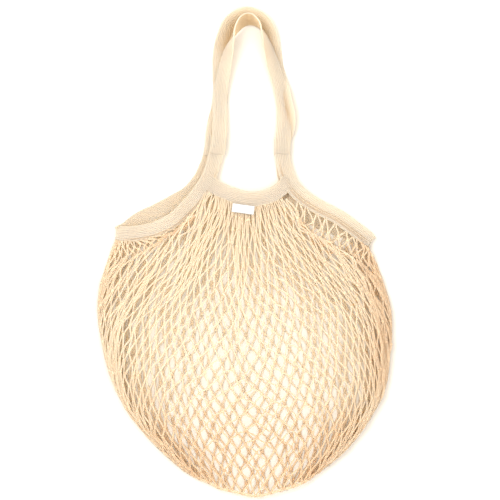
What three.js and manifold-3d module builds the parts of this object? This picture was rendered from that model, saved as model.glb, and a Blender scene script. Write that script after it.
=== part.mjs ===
// A string shopping bag of knitted cotton, lying on its back with its handles towards +Y.
// It is a net sack with a ribbed band round its mouth and two long ribbed handles.
// Millimetres, +Z up. The origin is the middle of the whole bag, at the height of the floor.
import * as THREE from 'three';
import { mergeVertices } from 'three/addons/utils/BufferGeometryUtils.js';
import Module from 'manifold-3d';

// Driving sizes of the net
const netWidth = 414; // across the widest part, side fold to side fold
const netLength = 360; // from the mouth's corners down to the bottom
const netHeight = 27; // of the plump middle above the floor
const foldHeight = 9; // of the flattened side folds
const cordThick = 3; // the net's wall is one knitted cord thick
const cordWide = 5; // what stands between two gaps
const gapRows = 8;
const gapsInRow = 8; // in every other row, and one less in the rows between

// Driving sizes of the bands and handles
const mouthWidth = 366; // between the mouth's two corners
const mouthRise = 126; // from the corners up to where the handles are sewn on
const handleSpread = 91; // between a handle's legs, centre to centre
const handleRise = 203; // from the sewn joins to the arch
const handleShift = 6.3; // the handles lie this far to the right of the net's middle
const bandWide = 21;
const bandThick = 2;

// Driving sizes of the tag and of the fits
const tagLong = 31;
const tagWide = 12;
const tagThick = 0.9;
const tagTurn = -8; // degrees, its right end lies lower
const clearance = 0.3;
const sag = 0.3; // what a band lying on another gains in height beside the clearance

// Steps of the faceted surfaces
const netColumns = 20; // on one face of the net
const netRows = 12;
const bandSteps = 2; // between two rows of a band's table
const sliver = 0.05; // edges left shorter than this by a cut are closed up

// Each band's table has a row for each point that it passes.
// along and leg are shares of half the mouth's width and of half the handle's spread, up is a
// share of the mouth's or the handle's rise; plies is how many bands lie under it;
// lift is its height over those plies as a share of the net's height;
// lean and swing are degrees: how far the band stands on edge, and where its free edge points.
const leftBand = {
  front: [
    { leg: -1.0, up: 1.156, plies: 2, lift: 0.0, lean: 0, swing: 184 },
    { leg: -1.062, up: 0.978, plies: 2, lift: 0.02, lean: 0, swing: 176 },
    { leg: -1.2, up: 0.789, plies: 2, lift: 0.06, lean: 0, swing: 165 },
    { along: -0.328, up: 0.589, plies: 2, lift: 0.12, lean: 0, swing: 147 },
    { along: -0.435, up: 0.389, plies: 2, lift: 0.17, lean: 0, swing: 132 },
    { along: -0.565, up: 0.211, plies: 2, lift: 0.18, lean: 0, swing: 118 },
    { along: -0.718, up: 0.111, plies: 2, lift: 0.16, lean: 0, swing: 104 },
    { along: -0.855, up: 0.072, plies: 2, lift: 0.13, lean: 0, swing: 96 },
    { along: -0.935, up: 0.067, plies: 2, lift: 0.1, lean: 0, swing: 92 },
  ],
  corner: { along: -0.994, up: 0.078, plies: 1, lift: 0.08, lean: 0, swing: 94 },
  back: [
    { along: -0.935, up: 0.1, plies: 0, lift: 0.03, lean: 0, swing: 100 },
    { along: -0.824, up: 0.222, plies: 0, lift: 0.01, lean: 0, swing: 118 },
    { along: -0.695, up: 0.311, plies: 0, lift: 0.0, lean: 0, swing: 121 },
    { along: -0.573, up: 0.406, plies: 0, lift: 0.0, lean: 0, swing: 124 },
    { along: -0.45, up: 0.511, plies: 0, lift: 0.0, lean: 0, swing: 130 },
    { leg: -1.585, up: 0.656, plies: 0, lift: 0.0, lean: 0, swing: 145 },
    { leg: -1.338, up: 0.833, plies: 0, lift: 0.0, lean: 0, swing: 159 },
    { leg: -1.2, up: 1.0, plies: 0, lift: 0.0, lean: 0, swing: 172 },
    { leg: -1.154, up: 1.133, plies: 0, lift: 0.0, lean: 0, swing: 176 },
  ],
};
const rightBand = {
  front: [
    { leg: 0.969, up: 1.133, plies: 2, lift: 0.0, lean: 0, swing: 0 },
    { leg: 0.985, up: 0.978, plies: 2, lift: 0.02, lean: 0, swing: 4 },
    { leg: 1.062, up: 0.8, plies: 2, lift: 0.06, lean: 0, swing: 13 },
    { leg: 1.246, up: 0.622, plies: 2, lift: 0.12, lean: 0, swing: 30 },
    { along: 0.443, up: 0.467, plies: 2, lift: 0.17, lean: 0, swing: 50 },
    { along: 0.573, up: 0.35, plies: 2, lift: 0.18, lean: 0, swing: 60 },
    { along: 0.71, up: 0.25, plies: 2, lift: 0.16, lean: 0, swing: 62 },
    { along: 0.805, up: 0.149, plies: 2, lift: 0.13, lean: 0, swing: 58 },
    { along: 0.893, up: 0.056, plies: 2, lift: 0.1, lean: 0, swing: 54 },
  ],
  corner: { along: 0.962, up: -0.024, plies: 1, lift: 0.08, lean: 0, swing: 56 },
  back: [
    { along: 0.901, up: 0.011, plies: 0, lift: 0.03, lean: 0, swing: 60 },
    { along: 0.794, up: 0.078, plies: 0, lift: 0.01, lean: 0, swing: 60 },
    { along: 0.672, up: 0.148, plies: 0, lift: 0.0, lean: 0, swing: 58 },
    { along: 0.534, up: 0.233, plies: 0, lift: 0.0, lean: 0, swing: 55 },
    { along: 0.42, up: 0.344, plies: 0, lift: 0.0, lean: 0, swing: 45 },
    { along: 0.344, up: 0.489, plies: 0, lift: 0.0, lean: 0, swing: 25 },
    { leg: 1.092, up: 0.667, plies: 0, lift: 0.0, lean: 0, swing: 12 },
    { leg: 1.015, up: 0.856, plies: 0, lift: 0.0, lean: 0, swing: 5 },
    { leg: 0.969, up: 1.044, plies: 0, lift: 0.0, lean: 0, swing: 2 },
  ],
};
const frontRim = [
  { leg: -1.42, up: 0.68, plies: 2, lift: 0.08, lean: 0, swing: 50 },
  { leg: -1.0, up: 0.572, plies: 2, lift: 0.14, lean: 0, swing: 60 },
  { leg: -0.538, up: 0.5, plies: 2, lift: 0.23, lean: 0, swing: 72 },
  { leg: -0.046, up: 0.456, plies: 2, lift: 0.27, lean: 0, swing: 86 },
  { leg: 0.354, up: 0.467, plies: 2, lift: 0.25, lean: 0, swing: 98 },
  { leg: 0.754, up: 0.52, plies: 2, lift: 0.17, lean: 0, swing: 112 },
  { leg: 1.2, up: 0.66, plies: 2, lift: 0.1, lean: 0, swing: 125 },
];
const backRim = [
  { leg: -1.42, up: 0.62, plies: 0, lift: 0.0, lean: 0, swing: 56 },
  { leg: -1.0, up: 0.5, plies: 0, lift: 0.0, lean: 0, swing: 64 },
  { leg: -0.538, up: 0.433, plies: 0, lift: 0.0, lean: 0, swing: 78 },
  { leg: -0.046, up: 0.406, plies: 0, lift: 0.0, lean: 0, swing: 88 },
  { leg: 0.446, up: 0.422, plies: 0, lift: 0.0, lean: 0, swing: 100 },
  { leg: 0.846, up: 0.47, plies: 0, lift: 0.0, lean: 0, swing: 112 },
  { leg: 1.25, up: 0.6, plies: 0, lift: 0.0, lean: 0, swing: 122 },
];
const frontHandle = [
  { leg: -1.031, up: -0.028, plies: 3, lift: 0.03, lean: 0, swing: -6 },
  { leg: -0.969, up: 0.083, plies: 3, lift: 0.01, lean: 0, swing: -6 },
  { leg: -0.938, up: 0.207, plies: 2, lift: 0.02, lean: 0, swing: -2 },
  { leg: -0.945, up: 0.345, plies: 1, lift: 0.02, lean: 5, swing: -3 },
  { leg: -0.892, up: 0.455, plies: 1, lift: 0.0, lean: 15, swing: -9 },
  { leg: -0.785, up: 0.579, plies: 1, lift: 0.0, lean: 30, swing: -13 },
  { leg: -0.662, up: 0.69, plies: 1, lift: 0.0, lean: 50, swing: -16 },
  { leg: -0.54, up: 0.766, plies: 1, lift: 0.04, lean: 80, swing: -23 },
  { leg: -0.385, up: 0.846, plies: 1, lift: 0.1, lean: 115, swing: -42 },
  { leg: -0.246, up: 0.886, plies: 1, lift: 0.1, lean: 138, swing: -62 },
  { leg: -0.077, up: 0.903, plies: 1, lift: 0.08, lean: 146, swing: -86 },
  { leg: 0.077, up: 0.897, plies: 1, lift: 0.1, lean: 140, swing: -100 },
  { leg: 0.215, up: 0.872, plies: 1, lift: 0.13, lean: 112, swing: -124 },
  { leg: 0.354, up: 0.821, plies: 1, lift: 0.1, lean: 80, swing: -146 },
  { leg: 0.523, up: 0.717, plies: 1, lift: 0.0, lean: 50, swing: -161 },
  { leg: 0.692, up: 0.593, plies: 1, lift: 0.0, lean: 25, swing: -163 },
  { leg: 0.908, up: 0.441, plies: 1, lift: 0.03, lean: 8, swing: -167 },
  { leg: 1.015, up: 0.317, plies: 1, lift: 0.07, lean: 0, swing: -174 },
  { leg: 1.031, up: 0.179, plies: 2, lift: 0.03, lean: 0, swing: -181 },
  { leg: 1.0, up: 0.083, plies: 3, lift: 0.01, lean: 0, swing: -182 },
  { leg: 0.985, up: -0.028, plies: 3, lift: 0.03, lean: 0, swing: -180 },
];
const backHandle = [
  { leg: -1.2, up: -0.041, plies: 1, lift: 0.01, lean: 0, swing: -4 },
  { leg: -1.169, up: 0.069, plies: 1, lift: 0.0, lean: 0, swing: -8 },
  { leg: -1.108, up: 0.179, plies: 0, lift: 0.04, lean: 0, swing: -12 },
  { leg: -0.985, up: 0.29, plies: 0, lift: 0.0, lean: 0, swing: -12 },
  { leg: -0.923, up: 0.386, plies: 0, lift: 0.0, lean: 0, swing: -2 },
  { leg: -0.938, up: 0.497, plies: 0, lift: 0.0, lean: 0, swing: 2 },
  { leg: -0.948, up: 0.607, plies: 0, lift: 0.0, lean: 0, swing: -2 },
  { leg: -0.908, up: 0.703, plies: 0, lift: 0.0, lean: 0, swing: -12 },
  { leg: -0.8, up: 0.793, plies: 0, lift: 0.01, lean: 3, swing: -28 },
  { leg: -0.662, up: 0.865, plies: 0, lift: 0.01, lean: 6, swing: -40 },
  { leg: -0.446, up: 0.917, plies: 0, lift: 0.01, lean: 8, swing: -60 },
  { leg: -0.077, up: 0.946, plies: 0, lift: 0.01, lean: 8, swing: -90 },
  { leg: 0.292, up: 0.915, plies: 0, lift: 0.01, lean: 8, swing: -115 },
  { leg: 0.508, up: 0.858, plies: 0, lift: 0.01, lean: 6, swing: -140 },
  { leg: 0.646, up: 0.769, plies: 0, lift: 0.01, lean: 3, swing: -158 },
  { leg: 0.732, up: 0.669, plies: 0, lift: 0.0, lean: 0, swing: -170 },
  { leg: 0.8, up: 0.559, plies: 0, lift: 0.0, lean: 0, swing: -170 },
  { leg: 0.93, up: 0.455, plies: 0, lift: 0.0, lean: 0, swing: -162 },
  { leg: 1.07, up: 0.345, plies: 0, lift: 0.0, lean: 0, swing: -165 },
  { leg: 1.178, up: 0.228, plies: 0, lift: 0.0, lean: 0, swing: -174 },
  { leg: 1.154, up: 0.159, plies: 0, lift: 0.04, lean: 0, swing: -190 },
  { leg: 1.031, up: 0.069, plies: 1, lift: 0.0, lean: 0, swing: -192 },
  { leg: 0.954, up: -0.041, plies: 1, lift: 0.01, lean: 0, swing: -186 },
];

// The net's outline below the mouth: shares of half its width and of its length below the corners
const leftEdge = [
  { along: -0.939, down: 0.062 },
  { along: -0.99, down: 0.171 },
  { along: -1.0, down: 0.28 },
  { along: -0.973, down: 0.389 },
  { along: -0.919, down: 0.514 },
  { along: -0.824, down: 0.638 },
  { along: -0.709, down: 0.732 },
];
const bottomEdge = [
  { along: -0.561, down: 0.825 },
  { along: -0.372, down: 0.918 },
  { along: -0.16, down: 0.968 },
  { along: 0.068, down: 1.0 },
  { along: 0.29, down: 0.97 },
  { along: 0.459, down: 0.918 },
  { along: 0.662, down: 0.825 },
];
const rightEdge = [
  { along: 0.912, down: 0.086 },
  { along: 0.986, down: 0.233 },
  { along: 1.0, down: 0.33 },
  { along: 0.986, down: 0.428 },
  { along: 0.946, down: 0.576 },
  { along: 0.865, down: 0.669 },
  { along: 0.757, down: 0.763 },
];

// How plump the net is on its way down, as a share of its height
const plumpness = [
  { down: 0, high: 0.55 },
  { down: 0.2, high: 0.76 },
  { down: 0.45, high: 1 },
  { down: 0.7, high: 0.96 },
  { down: 0.88, high: 0.74 },
  { down: 1, high: 0.4 },
];

// The front's raised folds, each from one point to another, on the shares of the outline
const folds = [
  { fromAlong: 0.28, fromDown: -0.17, toAlong: 0.84, toDown: 0.08, high: 0.24, wide: 0.035 },
  { fromAlong: -0.25, fromDown: -0.14, toAlong: -0.82, toDown: 0.06, high: 0.14, wide: 0.04 },
  { fromAlong: -0.9, fromDown: 0.1, toAlong: -0.86, toDown: 0.5, high: 0.12, wide: 0.03 },
  { fromAlong: 0.9, fromDown: 0.15, toAlong: 0.88, toDown: 0.5, high: 0.12, wide: 0.03 },
];
const gathers = { count: 7, high: 0.035 }; // small ripples under the rim
const restingShare = 0.78; // of the net's width, flat on the floor
const crownPower = 3; // of the curve of the front from fold to fold, rounder when higher

const cotton = new THREE.MeshStandardMaterial({ color: 0xf2dfc0, roughness: 0.92, metalness: 0 });
const webbing = new THREE.MeshStandardMaterial({ color: 0xf7e8cc, roughness: 0.88, metalness: 0 });
const tape = new THREE.MeshStandardMaterial({ color: 0xf4f4f1, roughness: 0.8, metalness: 0 });

const wasm = await Module();
wasm.setup();

// Plan places

function legPlace(share) {
  return handleShift + (share * handleSpread) / 2;
}

function mouthPlace(row) {
  const x = row.leg === undefined ? (row.along * mouthWidth) / 2 : legPlace(row.leg);
  return new THREE.Vector2(x, row.up * mouthRise);
}

function handlePlace(row) {
  return new THREE.Vector2(legPlace(row.leg), mouthRise + row.up * handleRise);
}

function netPlace(row) {
  return new THREE.Vector2((row.along * netWidth) / 2, -row.down * netLength);
}

// Bands

function bandHeight(row) {
  const lean = THREE.MathUtils.degToRad(row.lean);
  const support = row.plies * (bandThick + clearance + sag) + row.lift * netHeight;
  const standing = (Math.abs(Math.sin(lean)) * bandWide) / 2;
  return support + standing + (Math.abs(Math.cos(lean)) * bandThick) / 2;
}

function between(rows, share, column) {
  const at = share * (rows.length - 1);
  const below = Math.min(Math.floor(at), rows.length - 2);
  return THREE.MathUtils.lerp(rows[below][column], rows[below + 1][column], at - below);
}

// The places that a band passes, each with its centre and its two directions across
function bandStations(rows, place) {
  const centres = rows.map((row) => {
    const plan = place(row);
    return new THREE.Vector3(plan.x, plan.y, bandHeight(row));
  });
  const curve = new THREE.CatmullRomCurve3(centres, false, 'centripetal');
  const steps = (rows.length - 1) * bandSteps;
  const stations = [];
  for (let step = 0; step <= steps; step += 1) {
    const share = step / steps;
    const tangent = curve.getTangent(share);
    const lean = THREE.MathUtils.degToRad(between(rows, share, 'lean'));
    const swing = THREE.MathUtils.degToRad(between(rows, share, 'swing'));
    const level = new THREE.Vector3(Math.cos(swing), Math.sin(swing), 0);
    level.addScaledVector(tangent, -level.dot(tangent)).normalize();
    const upright = new THREE.Vector3().crossVectors(level, tangent);
    const across = level.clone().multiplyScalar(Math.cos(lean));
    across.addScaledVector(upright, Math.sin(lean));
    const through = new THREE.Vector3().crossVectors(across, tangent);
    stations.push({ centre: curve.getPoint(share), across, through });
  }
  return stations;
}

// A closed body through rings of points, all rings with as many points
function loft(rings) {
  const around = rings[0].length;
  const positions = rings.flat().flatMap((point) => [point.x, point.y, point.z]);
  const faces = [];
  for (let ring = 0; ring + 1 < rings.length; ring += 1) {
    for (let side = 0; side < around; side += 1) {
      const a = ring * around + side;
      const b = ring * around + ((side + 1) % around);
      faces.push(a, b, b + around, a, b + around, a + around);
    }
  }
  const last = (rings.length - 1) * around;
  for (let side = 1; side + 1 < around; side += 1) {
    faces.push(0, side + 1, side);
    faces.push(last, last + side, last + side + 1);
  }
  const geometry = new THREE.BufferGeometry();
  geometry.setAttribute('position', new THREE.Float32BufferAttribute(positions, 3));
  geometry.setIndex(faces);
  return geometry;
}

// Half the band's section, from edge to edge, as shares of its half width and half thickness
const bandSection = [
  { across: 1, through: 0.45 },
  { across: 0.93, through: 1 },
  { across: -0.93, through: 1 },
  { across: -1, through: 0.45 },
];

function bandGeometry(stations) {
  const other = bandSection.map((row) => ({ across: -row.across, through: -row.through }));
  const section = [...bandSection, ...other];
  const rings = stations.map(({ centre, across, through }) =>
    section.map((row) => {
      const point = centre.clone().addScaledVector(across, (row.across * bandWide) / 2);
      return point.addScaledVector(through, (row.through * bandThick) / 2);
    }),
  );
  return outward(loft(rings));
}

// Faces turned to point outwards, told by the sign of the volume
function outward(geometry) {
  const place = geometry.getAttribute('position');
  const index = geometry.getIndex();
  const corner = [new THREE.Vector3(), new THREE.Vector3(), new THREE.Vector3()];
  let volume = 0;
  for (let face = 0; face < index.count; face += 3) {
    corner.forEach((point, side) => point.fromBufferAttribute(place, index.getX(face + side)));
    volume += corner[0].dot(corner[1].clone().cross(corner[2]));
  }
  if (volume < 0) {
    for (let face = 0; face < index.count; face += 3) {
      const kept = index.getX(face);
      index.setX(face, index.getX(face + 1));
      index.setX(face + 1, kept);
    }
  }
  return geometry;
}

// Solids for joining and cutting

function solid(geometry) {
  const bare = geometry.clone();
  bare.deleteAttribute('normal');
  bare.deleteAttribute('uv');
  const merged = mergeVertices(bare);
  const vertProperties = new Float32Array(merged.getAttribute('position').array);
  const triVerts = new Uint32Array(merged.getIndex().array);
  return new wasm.Manifold(new wasm.Mesh({ numProp: 3, vertProperties, triVerts }));
}

function geometryOf(manifold) {
  const mesh = manifold.getMesh();
  const geometry = new THREE.BufferGeometry();
  geometry.setAttribute('position', new THREE.BufferAttribute(mesh.vertProperties, 3));
  geometry.setIndex(new THREE.BufferAttribute(mesh.triVerts, 1));
  return geometry;
}

// The net

function smooth(points) {
  const line = points.map((point) => new THREE.Vector3(point.x, point.y, 0));
  return new THREE.CatmullRomCurve3(line, false, 'centripetal');
}

// The line that carries the net: the side bands' rows below the handle's legs and the rim's
function mouthLine(side, rim) {
  const carries = (row) => row.leg === undefined;
  const left = leftBand[side].filter(carries).map(mouthPlace);
  const right = rightBand[side].filter(carries).map(mouthPlace);
  const middle = rim.slice(1, -1).map(mouthPlace);
  if (side === 'front') left.reverse();
  else right.reverse();
  const corners = [mouthPlace(leftBand.corner), mouthPlace(rightBand.corner)];
  return smooth([corners[0], ...left, ...middle, ...right, corners[1]]);
}

const mouths = { front: mouthLine('front', frontRim), back: mouthLine('back', backRim) };
const edges = {
  left: smooth([leftBand.corner].map(mouthPlace).concat([...leftEdge, bottomEdge[0]].map(netPlace))),
  bottom: smooth(bottomEdge.map(netPlace)),
  right: smooth(
    [rightBand.corner].map(mouthPlace).concat([...rightEdge, bottomEdge.at(-1)].map(netPlace)),
  ),
};
const middleCrowd = 0.4; // the columns crowd together under the rim's middle
const crowdedDown = 0.5; // and spread out evenly this far down

// The plan place of a point of the net: across runs from -1 to 1, down from 0 to 1
function netPlan(face, across, down) {
  const crowded = middleCrowd * across + (1 - middleCrowd) * across ** 3;
  const mouth = THREE.MathUtils.lerp(crowded, across, Math.min(1, down / crowdedDown));
  const ahead = (across + 1) / 2;
  const top = mouths[face].getPoint((mouth + 1) / 2);
  const bottom = edges.bottom.getPoint(ahead);
  const left = edges.left.getPoint(down);
  const right = edges.right.getPoint(down);
  const corners = [mouths[face].getPoint(0), mouths[face].getPoint(1)];
  corners.push(edges.bottom.getPoint(0), edges.bottom.getPoint(1));
  const mix = (axis) =>
    (1 - down) * top[axis] +
    down * bottom[axis] +
    (1 - ahead) * left[axis] +
    ahead * right[axis] -
    (1 - down) * ((1 - ahead) * corners[0][axis] + ahead * corners[1][axis]) -
    down * ((1 - ahead) * corners[2][axis] + ahead * corners[3][axis]);
  return new THREE.Vector3(mix('x'), mix('y'), 0);
}

function plumpAt(down) {
  const next = Math.max(1, plumpness.findIndex((row) => row.down >= down));
  const low = plumpness[next - 1];
  const high = plumpness[next];
  const share = (down - low.down) / (high.down - low.down);
  return THREE.MathUtils.lerp(low.high, high.high, THREE.MathUtils.smoothstep(share, 0, 1));
}

function foldRise(plan) {
  let rise = 0;
  for (const fold of folds) {
    const from = netPlace({ along: fold.fromAlong, down: fold.fromDown });
    const to = netPlace({ along: fold.toAlong, down: fold.toDown });
    const run = to.clone().sub(from);
    const place = new THREE.Vector2(plan.x, plan.y).sub(from);
    const share = THREE.MathUtils.clamp(place.dot(run) / run.lengthSq(), 0, 1);
    const off = place.distanceTo(run.multiplyScalar(share)) / (fold.wide * netWidth);
    rise += fold.high * netHeight * Math.exp(-off * off);
  }
  return rise;
}

// The height of one face of the net; inset is the depth under its outer skin
function netRise(face, across, down, inset) {
  const fold = foldHeight / 2;
  const edge = Math.min(1, Math.abs(across));
  const turning = Math.max(0, (edge - restingShare) / (1 - restingShare));
  if (face === 'back') return fold - (fold - inset) * Math.sqrt(1 - turning ** 2);
  const crown = Math.sqrt(1 - edge ** crownPower);
  const plan = netPlan(face, across, down);
  const ripple = gathers.high * netHeight * Math.cos(gathers.count * Math.PI * across);
  const relief = (foldRise(plan) + ripple * (1 - down) ** 2) * crown;
  return fold + (netHeight * plumpAt(down) - inset - fold) * crown + relief;
}

function netPoint(face, across, down, inset) {
  const taken = across * (1 - (2 * inset) / netWidth);
  const depth = down * (1 - inset / netLength);
  const point = netPlan(face, taken, depth);
  point.z = netRise(face, across, depth, inset);
  return point;
}

// One ring of the net, left to right over the front and back again under the back
function netRing(down, inset) {
  const ring = [];
  for (let column = 0; column < netColumns; column += 1) {
    const turn = (Math.PI * column) / netColumns;
    ring.push(netPoint('front', -Math.cos(turn), down, inset));
  }
  for (let column = 0; column < netColumns; column += 1) {
    const turn = (Math.PI * column) / netColumns;
    ring.push(netPoint('back', Math.cos(turn), down, inset));
  }
  return ring;
}

// Outer skin down to the bottom and inner skin back up, joined at the mouth
function netShell() {
  const rings = [];
  for (let row = 0; row <= netRows; row += 1) rings.push(netRing(row / netRows, 0));
  const inner = [];
  for (let row = netRows; row >= 0; row -= 1) inner.push(netRing(row / netRows, cordThick));
  const around = 2 * netColumns;
  const positions = [...rings, ...inner].flat().flatMap((point) => [point.x, point.y, point.z]);
  const faces = [];
  const strip = (first, second) => {
    for (let side = 0; side < around; side += 1) {
      const next = (side + 1) % around;
      const [a, b] = [first * around + side, first * around + next];
      const [c, d] = [second * around + side, second * around + next];
      faces.push(a, b, d, a, d, c);
    }
  };
  const closing = (ring, turned) => {
    const at = (side) => ring * around + (side % around);
    for (let column = 0; column < netColumns; column += 1) {
      const [a, b] = [at(column), at(column + 1)];
      const [c, d] = [at(around - column), at(around - column - 1)];
      const quad = turned ? [a, d, b, a, c, d] : [a, b, d, a, d, c];
      for (let corner = 0; corner < 6; corner += 3) {
        const face = quad.slice(corner, corner + 3);
        if (new Set(face).size === 3) faces.push(...face);
      }
    }
  };
  for (let ring = 0; ring < netRows; ring += 1) strip(ring, ring + 1);
  closing(netRows, false);
  closing(netRows + 1, true);
  for (let ring = netRows + 1; ring <= 2 * netRows; ring += 1) strip(ring, ring + 1);
  strip(2 * netRows + 1, 0);
  const geometry = new THREE.BufferGeometry();
  geometry.setAttribute('position', new THREE.Float32BufferAttribute(positions, 3));
  geometry.setIndex(faces);
  return outward(geometry);
}

const endMargin = 0.2; // how far a cutter reaches past a band's ends, as a share of a step

// A cutter over or under a band's plan, so that the net ends at the band's edge
function bandCutter(stations, low, high) {
  const reach = bandWide / 2 + clearance;
  const [first, second] = stations;
  const [last, before] = [stations.at(-1), stations.at(-2)];
  const beyond = (end, inner) => ({
    centre: end.centre.clone().lerp(inner.centre, -endMargin),
    across: end.across,
  });
  const longer = [beyond(first, second), ...stations.slice(1, -1), beyond(last, before)];
  const rings = longer.map(({ centre, across }) => {
    const aside = new THREE.Vector3(across.x, across.y, 0).normalize().multiplyScalar(reach);
    const [one, two] = [centre.clone().add(aside), centre.clone().sub(aside)];
    return [
      new THREE.Vector3(one.x, one.y, low),
      new THREE.Vector3(two.x, two.y, low),
      new THREE.Vector3(two.x, two.y, high),
      new THREE.Vector3(one.x, one.y, high),
    ];
  });
  return solid(outward(loft(rings)));
}

// A four-cornered gap through one face of the net, narrowed by half a cord on each side
function gapCutter(face, across, down, halfAcross, halfDown) {
  const centre = netPlan(face, across, down);
  const ends = [
    netPlan(face, across, down - halfDown),
    netPlan(face, across + halfAcross, down),
    netPlan(face, across, down + halfDown),
    netPlan(face, across - halfAcross, down),
  ];
  const wide = ends[1].distanceTo(ends[3]) / 2;
  const tall = ends[0].distanceTo(ends[2]) / 2;
  const inside = (wide * tall) / Math.hypot(wide, tall);
  const share = (inside - cordWide / 2) / inside;
  const shape = new THREE.Shape(
    ends.map((end) => {
      const corner = end.clone().lerp(centre, 1 - share);
      return new THREE.Vector2(corner.x, corner.y);
    }),
  );
  const inner = (netRise('front', across, down, cordThick) + cordThick) / 2;
  const depth = 2 * netHeight;
  const cutter = new THREE.ExtrudeGeometry(shape, { depth, bevelEnabled: false, steps: 1 });
  cutter.translate(0, 0, face === 'front' ? inner : inner - depth);
  return solid(cutter);
}

const gapField = { side: 0.86, top: 0.13, bottom: 0.93 }; // how far the open gaps reach

function gapCutters() {
  const cutters = [];
  const pitchAcross = (2 * gapField.side) / gapsInRow;
  const pitchDown = (gapField.bottom - gapField.top) / (gapRows + 1);
  for (const face of ['front', 'back']) {
    for (let row = 0; row < gapRows; row += 1) {
      const inRow = gapsInRow - (row % 2);
      for (let gap = 0; gap < inRow; gap += 1) {
        const across = (gap - (inRow - 1) / 2) * pitchAcross;
        const down = gapField.top + (row + 1) * pitchDown;
        cutters.push(gapCutter(face, across, down, pitchAcross / 2, pitchDown));
      }
    }
  }
  return cutters;
}

const bands = {
  side_band_left: bandStations([...leftBand.front, leftBand.corner, ...leftBand.back], mouthPlace),
  side_band_right: bandStations(
    [...rightBand.front, rightBand.corner, ...rightBand.back],
    mouthPlace,
  ),
  rim_front: bandStations(frontRim, mouthPlace),
  rim_back: bandStations(backRim, mouthPlace),
  handle_front: bandStations(frontHandle, handlePlace),
  handle_back: bandStations(backHandle, handlePlace),
};

// A side band folds round the mouth's corner: the half before it lies in front, the other behind
const foldStation = leftBand.front.length * bandSteps;

function sideHalf(stations, rim) {
  return rim === 'rim_front' ? stations.slice(0, foldStation + 1) : stations.slice(foldStation);
}

function netGeometry() {
  const low = -netHeight;
  const high = 2 * netHeight;
  const middle = foldHeight / 2;
  const cutters = [bandCutter(bands.rim_front, middle, high), bandCutter(bands.rim_back, low, middle)];
  for (const name of ['side_band_left', 'side_band_right']) {
    const folded = bands[name].slice(foldStation - 1, foldStation + 2);
    cutters.push(bandCutter(sideHalf(bands[name], 'rim_front'), middle, high));
    cutters.push(bandCutter(sideHalf(bands[name], 'rim_back'), low, middle));
    cutters.push(bandCutter(folded, low, high));
  }
  const cut = [...cutters, ...gapCutters()];
  let net = solid(netShell());
  for (const cutter of cut) net = net.subtract(cutter);
  const parts = net.decompose().sort((one, two) => two.volume() - one.volume());
  return geometryOf(parts[0].simplify(sliver));
}

// The tag, a folded strip of tape sewn to the front rim's lower edge
const tagLeg = -0.231; // its middle, as a share of half the handle's spread
const tagSewn = 2; // how far its upper edge reaches over the rim
const tagDown = 0.06; // the share of the net's way down that it lies over

function tagGeometry() {
  const corner = tagThick / 2;
  const shape = new THREE.Shape();
  shape.moveTo(-tagLong / 2, -corner);
  shape.lineTo(tagLong / 2, -corner);
  shape.lineTo(tagLong / 2, corner);
  shape.lineTo(-tagLong / 2, corner);
  const tag = new THREE.ExtrudeGeometry(shape, { depth: tagWide, bevelEnabled: false, steps: 4 });
  tag.rotateX(Math.PI / 2);
  tag.translate(0, tagWide / 2, 0);
  return tag;
}

// The rims end where they are sewn to the side bands
function rimGeometry(rim) {
  const sides = [bands.side_band_left, bands.side_band_right];
  const cutters = sides.map((stations) => bandCutter(sideHalf(stations, rim), 0, 2 * netHeight));
  const cut = cutters.reduce((left, cutter) => left.subtract(cutter), solid(bandGeometry(bands[rim])));
  const parts = cut.decompose().sort((one, two) => two.volume() - one.volume());
  return geometryOf(parts[0].simplify(sliver));
}

const bag = new THREE.Group();

function add(name, geometry, material) {
  const mesh = new THREE.Mesh(geometry, material);
  mesh.name = name;
  bag.add(mesh);
  return mesh;
}

add('net_bag', netGeometry(), cotton);
for (const [name, stations] of Object.entries(bands)) {
  const geometry = name.startsWith('rim') ? rimGeometry(name) : bandGeometry(stations);
  add(name, geometry, webbing);
}
const tag = add('label_tag', tagGeometry(), tape);
const rimMiddle = frontRim[3];
const tagPlace = mouthPlace(rimMiddle).y - bandWide / 2 - tagWide / 2 + tagSewn;
const rimTop = bandHeight(rimMiddle) + bandThick / 2;
const netTop = netHeight * (plumpAt(tagDown) + gathers.high);
const tagHeight = Math.max(rimTop, netTop) + clearance + tagThick / 2;
tag.position.set(legPlace(tagLeg), tagPlace, tagHeight);
tag.rotation.z = THREE.MathUtils.degToRad(tagTurn);

const box = new THREE.Box3().setFromObject(bag);
const middle = box.getCenter(new THREE.Vector3());
bag.position.set(-middle.x, -middle.y, -box.min.z);

export default bag;
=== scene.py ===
import math

import bpy
import numpy as np
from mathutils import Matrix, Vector


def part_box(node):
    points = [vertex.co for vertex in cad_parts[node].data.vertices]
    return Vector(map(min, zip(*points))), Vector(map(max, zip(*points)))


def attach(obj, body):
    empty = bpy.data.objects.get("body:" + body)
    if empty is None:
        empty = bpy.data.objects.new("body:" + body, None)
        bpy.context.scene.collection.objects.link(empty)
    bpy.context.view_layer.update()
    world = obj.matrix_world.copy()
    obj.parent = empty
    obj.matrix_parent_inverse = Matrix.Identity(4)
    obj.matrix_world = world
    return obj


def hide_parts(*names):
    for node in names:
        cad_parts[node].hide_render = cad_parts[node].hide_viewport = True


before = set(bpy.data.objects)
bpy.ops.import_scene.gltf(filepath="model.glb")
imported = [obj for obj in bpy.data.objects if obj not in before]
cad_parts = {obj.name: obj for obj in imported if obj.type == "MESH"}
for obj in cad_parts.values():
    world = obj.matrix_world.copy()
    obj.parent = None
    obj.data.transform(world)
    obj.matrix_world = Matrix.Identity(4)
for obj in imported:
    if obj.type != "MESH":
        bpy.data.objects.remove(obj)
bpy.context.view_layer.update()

# A knitted string shopping bag lying on its back: a net sack, the ribbed bands round its mouth
# and two long ribbed handles. Metres, +Y towards the handles, the floor at height 0.

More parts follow.
